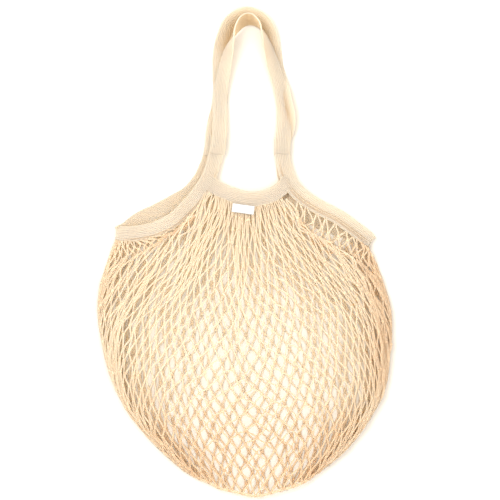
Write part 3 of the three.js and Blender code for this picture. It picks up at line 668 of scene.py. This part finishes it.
class Weave:
    """The knots of the net round both faces: rows from the mouth down, rings round the bag."""

    def __init__(self, cord):
        self.cord = cord
        self.rows, self.rings = np.meshgrid(
            np.arange(HALF_ROWS + 1), np.arange(2 * CELLS), indexing="ij"
        )
        odd = self.rows % 2
        self.column = 2 * self.rings + odd
        self.across = (self.column + 0.5) / CELLS - 1
        self.own_front = self.across < 1
        self.lower = [self.rings, (self.rings + 2 * odd - 1) % (2 * CELLS)]
        self.find_bunches()
        self.place_knots()
        self.gather()
        self.shade_folds()
        self.relax()
        self.raise_knots()

    def find_bunches(self):
        """How far each knot's column hangs from a side band, and how much its rows bunch."""
        top = spread(self.across, 0)
        self.bunches = []
        for (line, rolled, passed), end, way in zip(BUNCHES, RIM_ENDS[::-1], (1, -1)):
            share = (top - end) / (way - end)
            much = np.clip(share / 0.25, 0, 1) * np.clip((1 - share) / 0.4, 0, 1)
            much = np.where(self.own_front & (share > 0), much, 0)
            self.bunches.append((share, much, outline(line), rolled, passed, way))

    def place_knots(self):
        """The knots spread over the plan, uneven as knitting is."""
        at = self.rows.astype(float)
        for _, much, _, rolled, passed, _ in self.bunches:
            steps = [0, rolled - 1.6, rolled + 1.6, HALF_ROWS]
            drawn = np.interp(self.rows, steps, [0, 0.75 * passed, 1.1 * passed, HALF_ROWS])
            at += (drawn - self.rows) * much
        self.start = np.empty((*at.shape, 2))
        turn = np.empty(at.shape)
        self.down = np.empty(at.shape)
        plan, turns, downs, passed = column_ways()
        for column in range(4 * CELLS):
            here = self.column == column
            for axis in range(2):
                self.start[here, axis] = np.interp(at[here], passed[column], plan[column, :, axis])
            turn[here] = np.interp(at[here], passed[column], turns[column])
            self.down[here] = np.interp(at[here], passed[column], downs[column])
        self.front, self.place = face_place(turn)
        calm = np.clip(np.minimum(1 - np.abs(self.place), self.down * 0.8) / 0.25, 0, 1)
        self.calm = calm * np.clip((1 - self.down) / 0.1, 0, 1)
        x, y = self.start[..., 0], self.start[..., 1]
        bend = [
            np.where(self.front, waves(x, y, 8 + axis), waves(x, y, 3 + axis)) for axis in range(2)
        ]
        self.start += 0.0035 * self.calm[..., None] * np.stack(bend, -1)
        self.even_out()
        gap = np.linalg.norm(self.start - np.roll(self.start, 1, 1), axis=2)
        loose = np.clip(0.13 * gap, 0, 0.0012) * np.clip((1 - np.abs(self.place)) / 0.04, 0, 1)
        chance = np.random.default_rng(11)
        self.jitter = chance.normal(0, 1, self.start.shape) * loose[..., None]

    def even_out(self):
        """Neighbours in a row drawn to one another's middle, so that no columns stick together."""
        free = np.clip((0.96 - np.abs(self.place)) / 0.1, 0, 1)
        free[0] = 0
        for _ in range(EVEN_ROUNDS):
            before, after = np.roll(self.start, 1, 1), np.roll(self.start, -1, 1)
            way = unit(after - before)
            off = ((before + after) / 2 - self.start) * way
            self.start += 0.5 * free[..., None] * off.sum(2, keepdims=True) * way

    def gather(self):
        """The front's first rows bunched along the folds under the side bands."""
        self.bunched = np.zeros(self.rows.shape)
        for share, much, curve, rolled, _, way in self.bunches:
            flat = share.ravel()
            middle = even_line(curve, flat)
            slope = unit(even_line(curve, flat + 0.02) - even_line(curve, flat - 0.02))
            slope = np.stack([slope[:, 1], -slope[:, 0]], 1) * way
            target = middle + slope * (BUNCHED_STEP * (self.rows.ravel() - rolled))[:, None]
            weight = np.exp(-(((self.rows - rolled) / 1.7) ** 6)) * much * (self.rows > 0)
            self.start += (target.reshape(self.start.shape) - self.start) * weight[..., None]
            self.bunched = np.maximum(self.bunched, weight)

    def shade_folds(self):
        """How deep in a fold each knot lies: the mask of the painted shade that makes the cords darker and
        warmer in the bunches, along the side strips and in the lower rows.
        """
        right = np.clip((self.place - 0.72) / 0.2, 0, 1) * np.clip((0.85 - self.down) / 0.3, 0, 1)
        left = np.clip((-self.place - 0.8) / 0.2, 0, 1) * np.clip((0.6 - self.down) / 0.4, 0, 1)
        edge = np.clip((np.abs(self.place) - 0.75) / 0.2, 0, 1)
        low = (0.45 * edge + 0.8 * (1 - edge)) * np.clip((self.down - 0.45) / 0.35, 0, 1)
        near = np.maximum(np.maximum(0.65 * right, 0.4 * left), low)
        self.folded = np.maximum(near, 0.9 * self.bunched)

    def relax(self):
        """The strands drawn to one length, with the sewn edge and the outline held."""
        rows, rings = self.rows.shape
        number = np.arange(rows * rings).reshape(rows, rings)
        upper = np.concatenate([number[:-1].ravel(), number[:-1].ravel()])
        lower = np.concatenate(
            [
                np.take_along_axis(number[1:], self.lower[0][:-1], 1).ravel(),
                np.take_along_axis(number[1:], self.lower[1][:-1], 1).ravel(),
            ]
        )
        flat = self.start.reshape(-1, 2).copy()
        free = np.clip((0.975 - np.abs(self.place)) / 0.04, 0, 1)
        free[0] = 0
        free[-1] = 0
        free = free.reshape(-1, 1)
        goal = self.start.reshape(-1, 2)
        meets = np.bincount(np.concatenate([upper, lower]), minlength=len(flat))[:, None]
        homing = 0.03 + 0.5 * self.bunched.reshape(-1, 1)
        for _ in range(RELAX_ROUNDS):
            way = flat[lower] - flat[upper]
            length = np.maximum(np.linalg.norm(way, axis=1, keepdims=True), 1e-6)
            wrong = length - STRAND_LENGTH * 0.97
            pull = way / length * np.where(wrong > 0, wrong, 0.1 * wrong) * 0.5
            move = np.zeros_like(flat)
            for axis in range(2):
                move[:, axis] += np.bincount(upper, pull[:, axis], len(flat))
                move[:, axis] -= np.bincount(lower, pull[:, axis], len(flat))
            flat += free * (1.2 * move / meets + homing * (goal - flat))
        self.plan = flat.reshape(self.start.shape) + self.jitter

    def raise_knots(self):
        """The plan lifted onto the net's two faces."""
        high = np.empty(self.rows.shape)
        inset = self.cord / 2 + 0.0003
        for side, mask in (("front", self.front), ("back", ~self.front)):
            rise = net_rise(side, self.place[mask], self.down[mask], self.plan[mask], inset)
            high[mask] = rise
            top = face_place(spread(self.across[mask], 0))[1]
            sewn = even_line(mouth_line(side), (top + 1) / 2)
            fade = np.clip(1 - self.rows[mask] / 2.5, 0, 1)
            high[mask] += (sewn[:, 2] - rise) * fade
        chance = np.random.default_rng(5)
        edge = np.abs(self.place) ** 6
        high = high + chance.normal(0, 0.0005, high.shape) * (self.calm + 2.5 * edge)
        self.knots = np.concatenate([self.plan, np.maximum(high, inset)[..., None]], 2)

    def frames(self):
        """At each knot: the way down the bag, the way round it and the way out of it."""
        rows = HALF_ROWS + 1
        down = np.zeros_like(self.knots)
        for row in range(rows):
            below = above = self.knots[row]
            if row + 1 < rows:
                after = self.knots[row + 1]
                below = (after[self.lower[0][row]] + after[self.lower[1][row]]) / 2
            if row > 0:
                before = self.knots[row - 1]
                own = self.lower[0][row]
                other = (own + (-1 if row % 2 == 0 else 1)) % (2 * CELLS)
                above = (before[own] + before[other]) / 2
            down[row] = below - above
        down = unit(down)
        round_it = unit(np.roll(self.knots, -1, 1) - np.roll(self.knots, 1, 1))
        round_it = unit(round_it - down * (round_it * down).sum(-1, keepdims=True))
        return down, round_it, np.cross(down, round_it)


def cord_paths(weave, cords):
    """The cords' centre lines: each winds from knot to knot, left and right in turn."""
    down, round_it, _ = weave.frames()
    rows = np.arange(HALF_ROWS + 1)
    number = np.array(cords)[:, None]
    even = (rows % 2 == 0)[None]
    odd_cord = number % 2 == 1
    ring = np.where(even, number // 2, (number - 1) // 2) % (2 * CELLS)
    side = np.where(even == odd_cord, 1.0, -1.0)
    row = np.broadcast_to(rows[None], ring.shape)
    centre = weave.knots[row, ring] + round_it[row, ring] * (side * weave.cord * 0.46)[..., None]
    leaving = down[row, ring]
    t = np.linspace(0, 1, CORD_STEPS, endpoint=False)
    parts = []
    for step in range(HALF_ROWS):
        start, end = centre[:, step], centre[:, step + 1]
        reach = np.linalg.norm(end - start, axis=-1, keepdims=True)
        for share in t:
            parts.append(
                hermite(start, end, leaving[:, step] * reach, leaving[:, step + 1] * reach, share)
            )
    parts.append(centre[:, -1])
    folded = weave.folded[row, ring]
    at = np.linspace(0, HALF_ROWS, len(parts))
    folded = np.stack([np.interp(at, rows, line) for line in folded])
    paths = np.stack(parts, 1)
    paths[..., 2] = np.maximum(paths[..., 2], CORD_CLEAR * weave.cord)
    return paths, folded


def closing_cords(weave, lines, folded):
    """Two cords along the bottom, where the front's last row is joined to the back's."""
    last = weave.knots[-1][weave.own_front[-1]]
    first = even_line(last, np.linspace(0, 1, lines.shape[1]))
    second = first + np.array(CLOSING_STEP)
    tone = np.full((2, lines.shape[1]), folded[:, -1].mean())
    return np.concatenate([lines, [first, second]]), np.concatenate([folded, tone])


def wound_mesh(name, points, run, turn, folded, faces):
    """A closed mesh wound round its line, with maps of the way along and round it and of its painted fold
    shade.
    """
    ways = [np.broadcast_to(run, points.shape[:-1]), np.broadcast_to(turn, points.shape[:-1])]
    tone = np.stack([folded, folded], 1)
    maps = [("run", np.stack(ways, -1).reshape(-1, 2)), ("fold", tone)]
    made = make_mesh(name, points.reshape(-1, 3), faces, maps)
    face_out(made)
    return made


def tubes(name, lines, folded, radius, sides):
    """Round cords of equal steps along lines, an array of cords, steps and points."""
    cords, steps, _ = lines.shape
    tangent = unit(np.gradient(lines, axis=1))
    normal = np.empty_like(lines)
    start = np.cross(tangent[:, 0], [0.3, 0.2, 1.0])
    normal[:, 0] = unit(start)
    for step in range(1, steps):
        carried = normal[:, step - 1]
        along_it = (carried * tangent[:, step]).sum(-1, keepdims=True)
        normal[:, step] = unit(carried - tangent[:, step] * along_it)
    other = np.cross(tangent, normal)
    run = np.cumsum(np.linalg.norm(np.diff(lines, axis=1, prepend=lines[:, :1]), axis=2), axis=1)
    turn = np.linspace(0, 2 * math.pi, sides, endpoint=False)
    thick = radius * (1 + 0.06 * np.sin(run / 0.0031 + lines[..., 0] * 60))
    thick = (thick * (1 + 0.08 * folded))[..., None]
    lobes = 1 + 0.07 * np.cos(2 * turn[None, None] - 2 * math.pi * run[..., None] / 0.016)
    size = (thick * lobes)[..., None]
    ring = normal[:, :, None] * np.cos(turn)[None, None, :, None]
    ring = ring + other[:, :, None] * np.sin(turn)[None, None, :, None]
    points = lines[:, :, None] + ring * size
    tone = np.repeat(folded.reshape(-1), sides)
    faces = loft_faces(steps, sides, cords)
    return wound_mesh(name, points, run[..., None], turn / (2 * math.pi), tone, faces)


def knot_wraps(name, weave, mask):
    """A short barrel of stitches round the two cords at each knot."""
    down, round_it, out = weave.frames()
    chosen = mask.copy()
    chosen[0] = False
    chosen[-1] = False
    at = weave.knots[chosen]
    chance = np.random.default_rng(3)
    tilt = chance.normal(0, 0.35, len(at))[:, None]
    way = unit(down[chosen] + round_it[chosen] * tilt)
    wide = unit(round_it[chosen] - down[chosen] * tilt)
    deep = out[chosen]
    turn = np.linspace(0, 2 * math.pi, KNOT_SIDES, endpoint=False)
    size = 1 + chance.normal(0, 0.08, len(at))[:, None, None]
    rings = []
    for place, swell in KNOT_PROFILE:
        aside = (np.cos(turn) * weave.cord * 0.98 * swell)[None, :, None]
        outward = (np.sin(turn) * weave.cord * 0.68 * swell)[None, :, None]
        ring = wide[:, None] * aside * size
        ring = ring + deep[:, None] * outward * size
        rings.append(at[:, None] + ring + (way * place * KNOT_REACH)[:, None])
    points = np.stack(rings, 1)
    points[..., 2] = np.maximum(points[..., 2], ABOVE_FLOOR)
    run = np.array([place for place, _ in KNOT_PROFILE])[None, :, None] * KNOT_REACH
    tone = np.repeat(weave.folded[chosen], KNOT_SIDES * len(KNOT_PROFILE))
    faces = loft_faces(len(KNOT_PROFILE), KNOT_SIDES, len(at))
    return wound_mesh(name, points, run, turn / (2 * math.pi), tone, faces)


# Finishes

class Nodes:
    """A small helper that adds and joins the nodes of one material."""

    def __init__(self, name):
        self.material = bpy.data.materials.new(name)
        self.material.use_nodes = True
        self.tree = self.material.node_tree
        self.shader = self.tree.nodes["Principled BSDF"]

    def add(self, kind, **values):
        node = self.tree.nodes.new(kind)
        for key, value in values.items():
            if key in node.inputs:
                node.inputs[key].default_value = value
            else:
                setattr(node, key, value)
        return node

    def join(self, source, target):
        self.tree.links.new(source, target)

    def feed(self, value, socket):
        """A socket is joined to another's output, or gets a constant of its own."""
        if isinstance(value, bpy.types.NodeSocket):
            self.join(value, socket)
        else:
            socket.default_value = value

    def maths(self, operation, first, second=None):
        node = self.add("ShaderNodeMath", operation=operation)
        self.feed(first, node.inputs[0])
        if second is not None:
            self.feed(second, node.inputs[1])
        return node.outputs[0]

    def blend(self, share, first, second):
        """A mix of two colours, each given as a colour or a socket."""
        node = self.add("ShaderNodeMix", data_type="RGBA")
        self.join(share, node.inputs[0])
        self.feed(first, node.inputs[6])
        self.feed(second, node.inputs[7])
        return node.outputs[2]

    def way(self, title):
        """The two parts of one of the mesh's maps."""
        place = self.add("ShaderNodeUVMap", uv_map=title)
        split = self.add("ShaderNodeSeparateXYZ")
        self.join(place.outputs["UV"], split.inputs[0])
        return split.outputs["X"], split.outputs["Y"]

    def surface(self, base, rough, normal):
        """The shader's colour, roughness and relief."""
        self.join(base, self.shader.inputs["Base Color"])
        self.join(rough, self.shader.inputs["Roughness"])
        self.join(normal, self.shader.inputs["Normal"])

    def noise(self, scale, detail=3.0, rough=0.55):
        place = self.add("ShaderNodeTexCoord")
        node = self.add("ShaderNodeTexNoise", Scale=scale, Detail=detail, Roughness=rough)
        self.join(place.outputs["Object"], node.inputs["Vector"])
        return node.outputs["Fac"]

    def ramp(self, value, low, high):
        node = self.add("ShaderNodeMapRange", interpolation_type="SMOOTHSTEP")
        node.inputs["From Min"].default_value = low
        node.inputs["From Max"].default_value = high
        self.join(value, node.inputs["Value"])
        return node.outputs["Result"]

    def bump(self, height, distance, strength, before=None):
        node = self.add("ShaderNodeBump", Strength=strength, Distance=distance)
        self.join(height, node.inputs["Height"])
        if before is not None:
            self.join(before, node.inputs["Normal"])
        return node.outputs["Normal"]


def shade(colour, factor):
    return tuple(channel * factor for channel in colour[:3]) + (1.0,)


def cord_material(colours):
    """Soft twisted cotton: two plies winding round each other, with loose fibres, and painted shade in the
    grooves of the twist and in the folds of the net.
    """
    nodes = Nodes("twisted_cotton")
    along_it, round_it = nodes.way("run")
    run = nodes.maths("MULTIPLY", along_it, 2 * math.pi / PLY_PITCH)
    turn = nodes.maths("MULTIPLY", round_it, 6 * math.pi)
    twist = nodes.maths("ABSOLUTE", nodes.maths("SINE", nodes.maths("ADD", run, turn)))
    fibre = nodes.noise(2600, 4)
    cloudy = nodes.noise(16, 2)
    lint = nodes.noise(420, 3)
    base = nodes.blend(nodes.ramp(cloudy, 0.35, 0.65), colours.cord_pale, colours.cord_warm)
    base = nodes.blend(nodes.ramp(lint, 0.42, 0.75), base, shade(colours.cord_warm, 0.93))
    # Painted shade in the grooves between the twisted plies.
    groove_shade = nodes.maths("SUBTRACT", 1.0, nodes.ramp(twist, 0.0, 0.45))
    base = nodes.blend(nodes.maths("MULTIPLY", groove_shade, 0.35), base, shade(colours.cord_warm, 0.8))
    # Painted shade from the fold map, made patchy by the lint: the cords darker and warmer in folds,
    # bunches, side strips and lower rows.
    uneven = nodes.maths("ADD", nodes.maths("MULTIPLY", lint, 0.8), 0.3)
    deep = nodes.ramp(nodes.maths("MULTIPLY", nodes.way("fold")[0], uneven), 0.0, 1.0)
    base = nodes.blend(deep, base, colours.cord_fold_shade)
    rough = nodes.maths("ADD", nodes.maths("MULTIPLY", lint, 0.12), 0.82)
    relief = nodes.bump(fibre, 0.0002, 0.5, nodes.bump(twist, 0.0006, 0.7))
    nodes.surface(base, rough, relief)
    # The light let through is painted darker in the same places, towards the fold shade colour.
    dimmed = nodes.maths("MULTIPLY", deep, 0.4)
    finish_cotton(nodes, nodes.blend(dimmed, colours.cord_glow, colours.cord_fold_shade))
    return nodes.material


def finish_cotton(nodes, glow):
    """Dull cotton that lets some light through."""
    nodes.shader.inputs["Specular IOR Level"].default_value = 0.25
    nodes.shader.inputs["Sheen Weight"].default_value = 0.25
    nodes.shader.inputs["Sheen Roughness"].default_value = 0.5
    through = nodes.add("ShaderNodeBsdfTranslucent")
    nodes.feed(glow, through.inputs["Color"])
    mix = nodes.add("ShaderNodeMixShader", Fac=LET_THROUGH)
    nodes.join(nodes.shader.outputs["BSDF"], mix.inputs[1])
    nodes.join(through.outputs["BSDF"], mix.inputs[2])
    nodes.join(mix.outputs[0], nodes.tree.nodes["Material Output"].inputs["Surface"])


def knit_material(colours, knit):
    """Ribbed knit: chains of small V stitches along each rib, with painted shade in the pits between
    stitches, in the grooves between ribs and where the fold map asks for it.
    """
    nodes = Nodes("ribbed_knit")
    along_it, across_it = nodes.way("run")
    column = nodes.maths("MULTIPLY", across_it, math.pi * knit.ribs / BAND_WIDE)
    column = nodes.maths("ABSOLUTE", nodes.maths("SINE", column))
    row = nodes.maths("MULTIPLY", along_it, 2 * math.pi / knit.row_pitch)
    stitch = nodes.maths("SINE", nodes.maths("ADD", row, nodes.maths("MULTIPLY", column, 2.6)))
    stitch = nodes.maths("ADD", nodes.maths("MULTIPLY", stitch, 0.5), 0.5)
    fibre = nodes.noise(2400, 4)
    cloudy = nodes.noise(22, 2)
    lint = nodes.noise(380, 3)
    base = nodes.blend(nodes.ramp(cloudy, 0.35, 0.65), colours.band_pale, colours.band_warm)
    base = nodes.blend(nodes.ramp(lint, 0.45, 0.75), base, shade(colours.band_warm, 0.95))
    # Painted shade in the pits between the stitches.
    pit_shade = nodes.maths("MULTIPLY", nodes.maths("SUBTRACT", 1.0, nodes.ramp(stitch, 0.05, 0.5)), 0.3)
    base = nodes.blend(pit_shade, base, shade(colours.band_warm, 0.84))
    # Painted shade in the grooves between the ribs.
    groove_shade = nodes.maths("SUBTRACT", 1.0, nodes.ramp(column, 0.0, 0.55))
    base = nodes.blend(groove_shade, base, shade(colours.band_warm, 0.6))
    # Painted shade from the fold map: the bands' inner faces, the handles at the arch and the creases
    # darker and warmer.
    base = nodes.blend(nodes.way("fold")[0], base, colours.band_shade)
    rough = nodes.maths("ADD", nodes.maths("MULTIPLY", lint, 0.12), 0.8)
    relief = nodes.bump(fibre, 0.00015, 0.5, nodes.bump(stitch, 0.0005, 0.6))
    nodes.surface(base, rough, relief)
    finish_cotton(nodes, colours.band_glow)
    return nodes.material


def tape_material(colours):
    """Smooth woven label tape: fine crossed threads."""
    nodes = Nodes("woven_tape")
    place = nodes.add("ShaderNodeTexCoord")
    split = nodes.add("ShaderNodeSeparateXYZ")
    nodes.join(place.outputs["Object"], split.inputs[0])
    warp, weft = (
        nodes.maths("SINE", nodes.maths("MULTIPLY", split.outputs[axis], 2 * math.pi / THREAD_PITCH))
        for axis in ("X", "Y")
    )
    threads = nodes.maths("MULTIPLY", warp, weft)
    cloudy = nodes.noise(90, 2)
    base = nodes.blend(nodes.ramp(cloudy, 0.3, 0.7), colours.tag, shade(colours.tag, 0.95))
    rough = nodes.maths("ADD", nodes.maths("MULTIPLY", cloudy, 0.2), 0.55)
    nodes.surface(base, rough, nodes.bump(threads, 0.0002, 0.5))
    nodes.shader.inputs["Specular IOR Level"].default_value = 0.3
    nodes.shader.inputs["Sheen Weight"].default_value = 0.15
    return nodes.material


def floor_material(colours):
    """A plain pale floor with the faintest unevenness."""
    nodes = Nodes("pale_floor")
    cloudy = nodes.noise(3, 2)
    base = nodes.blend(nodes.ramp(cloudy, 0.3, 0.7), colours.floor, shade(colours.floor, 0.985))
    nodes.join(base, nodes.shader.inputs["Base Color"])
    nodes.shader.inputs["Roughness"].default_value = 0.9
    nodes.shader.inputs["Specular IOR Level"].default_value = 0.1
    return nodes.material


# Settings

class BagCordSettings(bpy.types.PropertyGroup):
    """Sizes of the net's cord"""

    cord: bpy.props.FloatProperty(
        name="Cord", description="Thickness of the net's cord", default=0.0021, unit="LENGTH"
    )


class BagKnitSettings(bpy.types.PropertyGroup):
    """Sizes of the ribbed knit of the bands and handles"""

    ribs: bpy.props.IntProperty(
        name="Ribs", description="Lengthwise ribs across a band", default=9, min=3, max=15
    )
    rib_height: bpy.props.FloatProperty(
        name="Rib Height", description="Depth between two ribs", default=0.0008, unit="LENGTH"
    )
    rolled_edge: bpy.props.FloatProperty(
        name="Rolled Edge", description="How much thicker the edges are", default=0.5,
        subtype="FACTOR", min=0, max=1,
    )
    row_pitch: bpy.props.FloatProperty(
        name="Stitch Row", description="From one row of stitches to the next", default=0.0016,
        unit="LENGTH",
    )
    sewn_pitch: bpy.props.FloatProperty(
        name="Sewn Row", description="From one sewn row to the next on a join", default=0.0042,
        unit="LENGTH",
    )


def colour(name, description, red, green, blue):
    return bpy.props.FloatVectorProperty(
        name=name, description=description, default=(red, green, blue, 1.0), subtype="COLOR", size=4
    )


class BagColourSettings(bpy.types.PropertyGroup):
    """Colours of the cotton, of the shade painted on it, of the tag and of the floor"""

    cord_pale: colour("Pale Cord", "The net's lighter cotton", 0.85, 0.76, 0.63)
    cord_warm: colour("Warm Cord", "The net's warmer cotton", 0.83, 0.71, 0.565)
    # Painted shade: the darker, warmer colour laid on the cords in folds, bunches, side strips and lower
    # rows.
    cord_fold_shade: colour("Deep Cord", "The net's cotton where it lies folded", 0.78, 0.55, 0.33)
    band_pale: colour("Pale Band", "The bands' lighter cotton", 0.73, 0.735, 0.70)
    band_warm: colour("Warm Band", "The bands' warmer cotton", 0.71, 0.70, 0.65)
    # Painted shade on the bands' inner faces, at the handles' arch and along creases.
    band_shade: colour("Band Inside", "The warmer inner face of the bands", 0.37, 0.235, 0.12)
    cord_glow: colour("Cord Glow", "Light that passes through the net's cotton", 1.0, 0.925, 0.79)
    band_glow: colour("Band Glow", "Light that passes through the bands' cotton", 0.93, 0.83, 0.67)
    tag: colour("Tag", "The bare white tape of the tag", 0.50, 0.49, 0.47)
    floor: colour("Floor", "The pale floor", 0.56, 0.52, 0.46)


# Operators

class BAG_OT_stage(bpy.types.Operator):
    """Makes the floor, the soft light and the camera straight above the bag"""

    bl_idname = "bag.stage"
    bl_label = "Floor, Light and Camera"

    def execute(self, context):
        scene = context.scene
        corners = FLOOR_REACH * np.array([(-1, -1, 0), (1, -1, 0), (1, 1, 0), (-1, 1, 0)])
        floor = make_mesh("floor", corners, [np.array([[0, 1, 2, 3]])])
        floor.data.materials.append(floor_material(scene.bag_colours))
        world = bpy.data.worlds.new("studio")
        world.use_nodes = True
        background = world.node_tree.nodes["Background"]
        background.inputs["Color"].default_value = (1.0, 1.0, 1.0, 1.0)
        background.inputs["Strength"].default_value = WORLD_LIGHT
        scene.world = world
        for name, place, wide, power in LIGHTS:
            data = bpy.data.lights.new(name, "AREA")
            data.shape = "DISK"
            data.size = wide
            data.energy = power
            light = bpy.data.objects.new(name, data)
            light.location = place
            light.rotation_euler = (-Vector(place)).to_track_quat("-Z", "Y").to_euler()
            scene.collection.objects.link(light)
        data = bpy.data.cameras.new("camera")
        data.sensor_width = SENSOR_WIDTH
        data.lens = SENSOR_WIDTH * (VIEW_HEIGHT - NET_HEIGHT / 2) / VIEW_WIDTH
        camera = bpy.data.objects.new("camera", data)
        camera.location = (*VIEW_CENTRE, VIEW_HEIGHT)
        scene.collection.objects.link(camera)
        scene.camera = camera
        scene.view_settings.view_transform = "Standard"
        return {"FINISHED"}


class BAG_OT_net(bpy.types.Operator):
    """Knits the net: the cords of both faces and the stitches at their knots"""

    bl_idname = "bag.net"
    bl_label = "Net"

    def execute(self, context):
        settings = context.scene.bag_cord
        material = cord_material(context.scene.bag_colours)
        weave = Weave(settings.cord)
        half = 2 * CELLS
        for side, cords, mask in (
            ("front", range(half), weave.own_front),
            ("back", range(half, 2 * half), ~weave.own_front),
        ):
            lines, folded = cord_paths(weave, cords)
            if side == "front":
                lines, folded = closing_cords(weave, lines, folded)
            net = tubes(f"net_{side}", lines, folded, settings.cord / 2, CORD_SIDES)
            knots = knot_wraps(f"net_knots_{side}", weave, mask)
            finish_piece(net, material, ["net_bag"])
            finish_piece(knots, material, [])
        return {"FINISHED"}


class BAG_OT_bands(bpy.types.Operator):
    """Makes the ribbed bands round the mouth"""

    bl_idname = "bag.bands"
    bl_label = "Bands"

    def execute(self, context):
        knit = context.scene.bag_knit
        material = knit_material(context.scene.bag_colours, knit)
        left = mouth_rows([*LEFT_FRONT, LEFT_CORNER, *LEFT_BACK])
        right = mouth_rows([*RIGHT_FRONT, RIGHT_CORNER, *RIGHT_BACK])
        ridges = [(0.08, 0.5, -0.52, 0.0007, 0.08), (0.12, 0.5, -0.2, 0.0006, 0.08)]
        # The last column: painted shade on each face of the band, for the inner faces that lie in shade.
        bands = (
            ("side_band_left", left, 1, [(0.1, 0.5, -0.75, 0.0005, 0.07)], (0, 0.15)),
            ("side_band_right", right, 2, ridges, (0.2, 0)),
            ("rim_front", mouth_rows(FRONT_RIM), 3, [], (0.5, 0)),
            ("rim_back", mouth_rows(BACK_RIM), 4, [], (0, 0.5)),
        )
        for name, rows, seed, creases, faces in bands:
            face_shades = [(-0.1, 1.1, 1.7 * faces[0], faces[1], 0)]
            rounded = CORNER_SHARE if name.startswith("side") else 0
            band = ribbon(f"{name}_knit", rows, knit, seed, creases, face_shades=face_shades, rounded=rounded)
            finish_piece(band, material, [name])
        return {"FINISHED"}


class BAG_OT_handles(bpy.types.Operator):
    """Makes the two long ribbed handles"""

    bl_idname = "bag.handles"
    bl_label = "Handles"

    def execute(self, context):
        knit = context.scene.bag_knit
        material = bpy.data.materials["ribbed_knit"]
        # The last column: painted shade on the front handle's under face at the arch, and on the back
        # handle's face there and along its right bulge.
        handles = (
            ("handle_front", FRONT_HANDLE, 6, [(0.0, 0.075, 0.0003)], [(0.3, 0.7, 0, 0.95, 0)]),
            (
                "handle_back", BACK_HANDLE, 8, [],
                [(0.3, 0.72, 1.0, 0, 0.6), (0.76, 0.97, 1.0, 0, 0.7)],
            ),
        )
        for name, rows, seed, patches, face_shades in handles:
            handle = ribbon(f"{name}_knit", handle_rows(rows), knit, seed, [], patches, face_shades, HANDLE_TAPER)
            finish_piece(handle, material, [name])
        return {"FINISHED"}


class BAG_OT_tag(bpy.types.Operator):
    """Makes the small bare tag sewn under the front rim"""

    bl_idname = "bag.tag"
    bl_label = "Tag"

    def execute(self, context):
        low, high = TAG_BOX
        tag_long, tag_wide, tag_thick = TAG_SIZE
        columns, rows = 25, 11
        x, y = np.meshgrid(
            np.linspace(-1, 1, columns), np.linspace(-1, 1, rows), indexing="ij"
        )
        bow = 0.0005 * (1 - x**2) - 0.00035 * np.exp(-(((y - 0.86) / 0.1) ** 2))
        edge = np.minimum(
            np.sqrt(np.clip(1 - np.abs(x) ** 30, 0, 1)), np.sqrt(np.clip(1 - np.abs(y) ** 16, 0, 1))
        )
        flat = np.stack([x * tag_long / 2, y * tag_wide / 2], -1)
        layers = []
        for sign in (1, -1):
            z = bow * 0.8 + sign * np.maximum(edge, 0.1) * tag_thick / 2 * 0.8
            layers.append(np.concatenate([flat, z[..., None]], -1))
        rings = np.concatenate([layers[0], layers[1][:, ::-1]], 1)
        points = rings.reshape(-1, 3)
        turned = points.copy()
        turned[:, 0] = points[:, 0] * math.cos(TAG_TURN) - points[:, 1] * math.sin(TAG_TURN)
        turned[:, 1] = points[:, 0] * math.sin(TAG_TURN) + points[:, 1] * math.cos(TAG_TURN)
        middle = (np.array(low) + np.array(high)) / 2
        tag = make_mesh("tag_tape", turned + middle, loft_faces(columns, 2 * rows))
        face_out(tag)
        finish_piece(tag, tape_material(context.scene.bag_colours), ["label_tag"])
        return {"FINISHED"}


class BAG_PT_panel(bpy.types.Panel):
    """The bag's sizes and the steps that make it"""

    bl_label = "String Shopping Bag"
    bl_space_type = "VIEW_3D"
    bl_region_type = "UI"
    bl_category = "Bag"

    def draw(self, context):
        layout = self.layout
        for group in (context.scene.bag_cord, context.scene.bag_knit, context.scene.bag_colours):
            for name in group.__annotations__:
                layout.prop(group, name)
        for step in STEPS:
            layout.operator(step.bl_idname)


SETTINGS = (
    ("bag_cord", BagCordSettings),
    ("bag_knit", BagKnitSettings),
    ("bag_colours", BagColourSettings),
)
STEPS = (BAG_OT_stage, BAG_OT_net, BAG_OT_bands, BAG_OT_handles, BAG_OT_tag)


def register():
    for name, group in SETTINGS:
        bpy.utils.register_class(group)
        setattr(bpy.types.Scene, name, bpy.props.PointerProperty(type=group))
    for step in (*STEPS, BAG_PT_panel):
        bpy.utils.register_class(step)


def unregister():
    for step in reversed((*STEPS, BAG_PT_panel)):
        bpy.utils.unregister_class(step)
    for name, group in reversed(SETTINGS):
        delattr(bpy.types.Scene, name)
        bpy.utils.unregister_class(group)


def main():
    register()
    bpy.ops.bag.stage()
    bpy.ops.bag.net()
    bpy.ops.bag.bands()
    bpy.ops.bag.handles()
    bpy.ops.bag.tag()


if __name__ == "__main__":
    main()
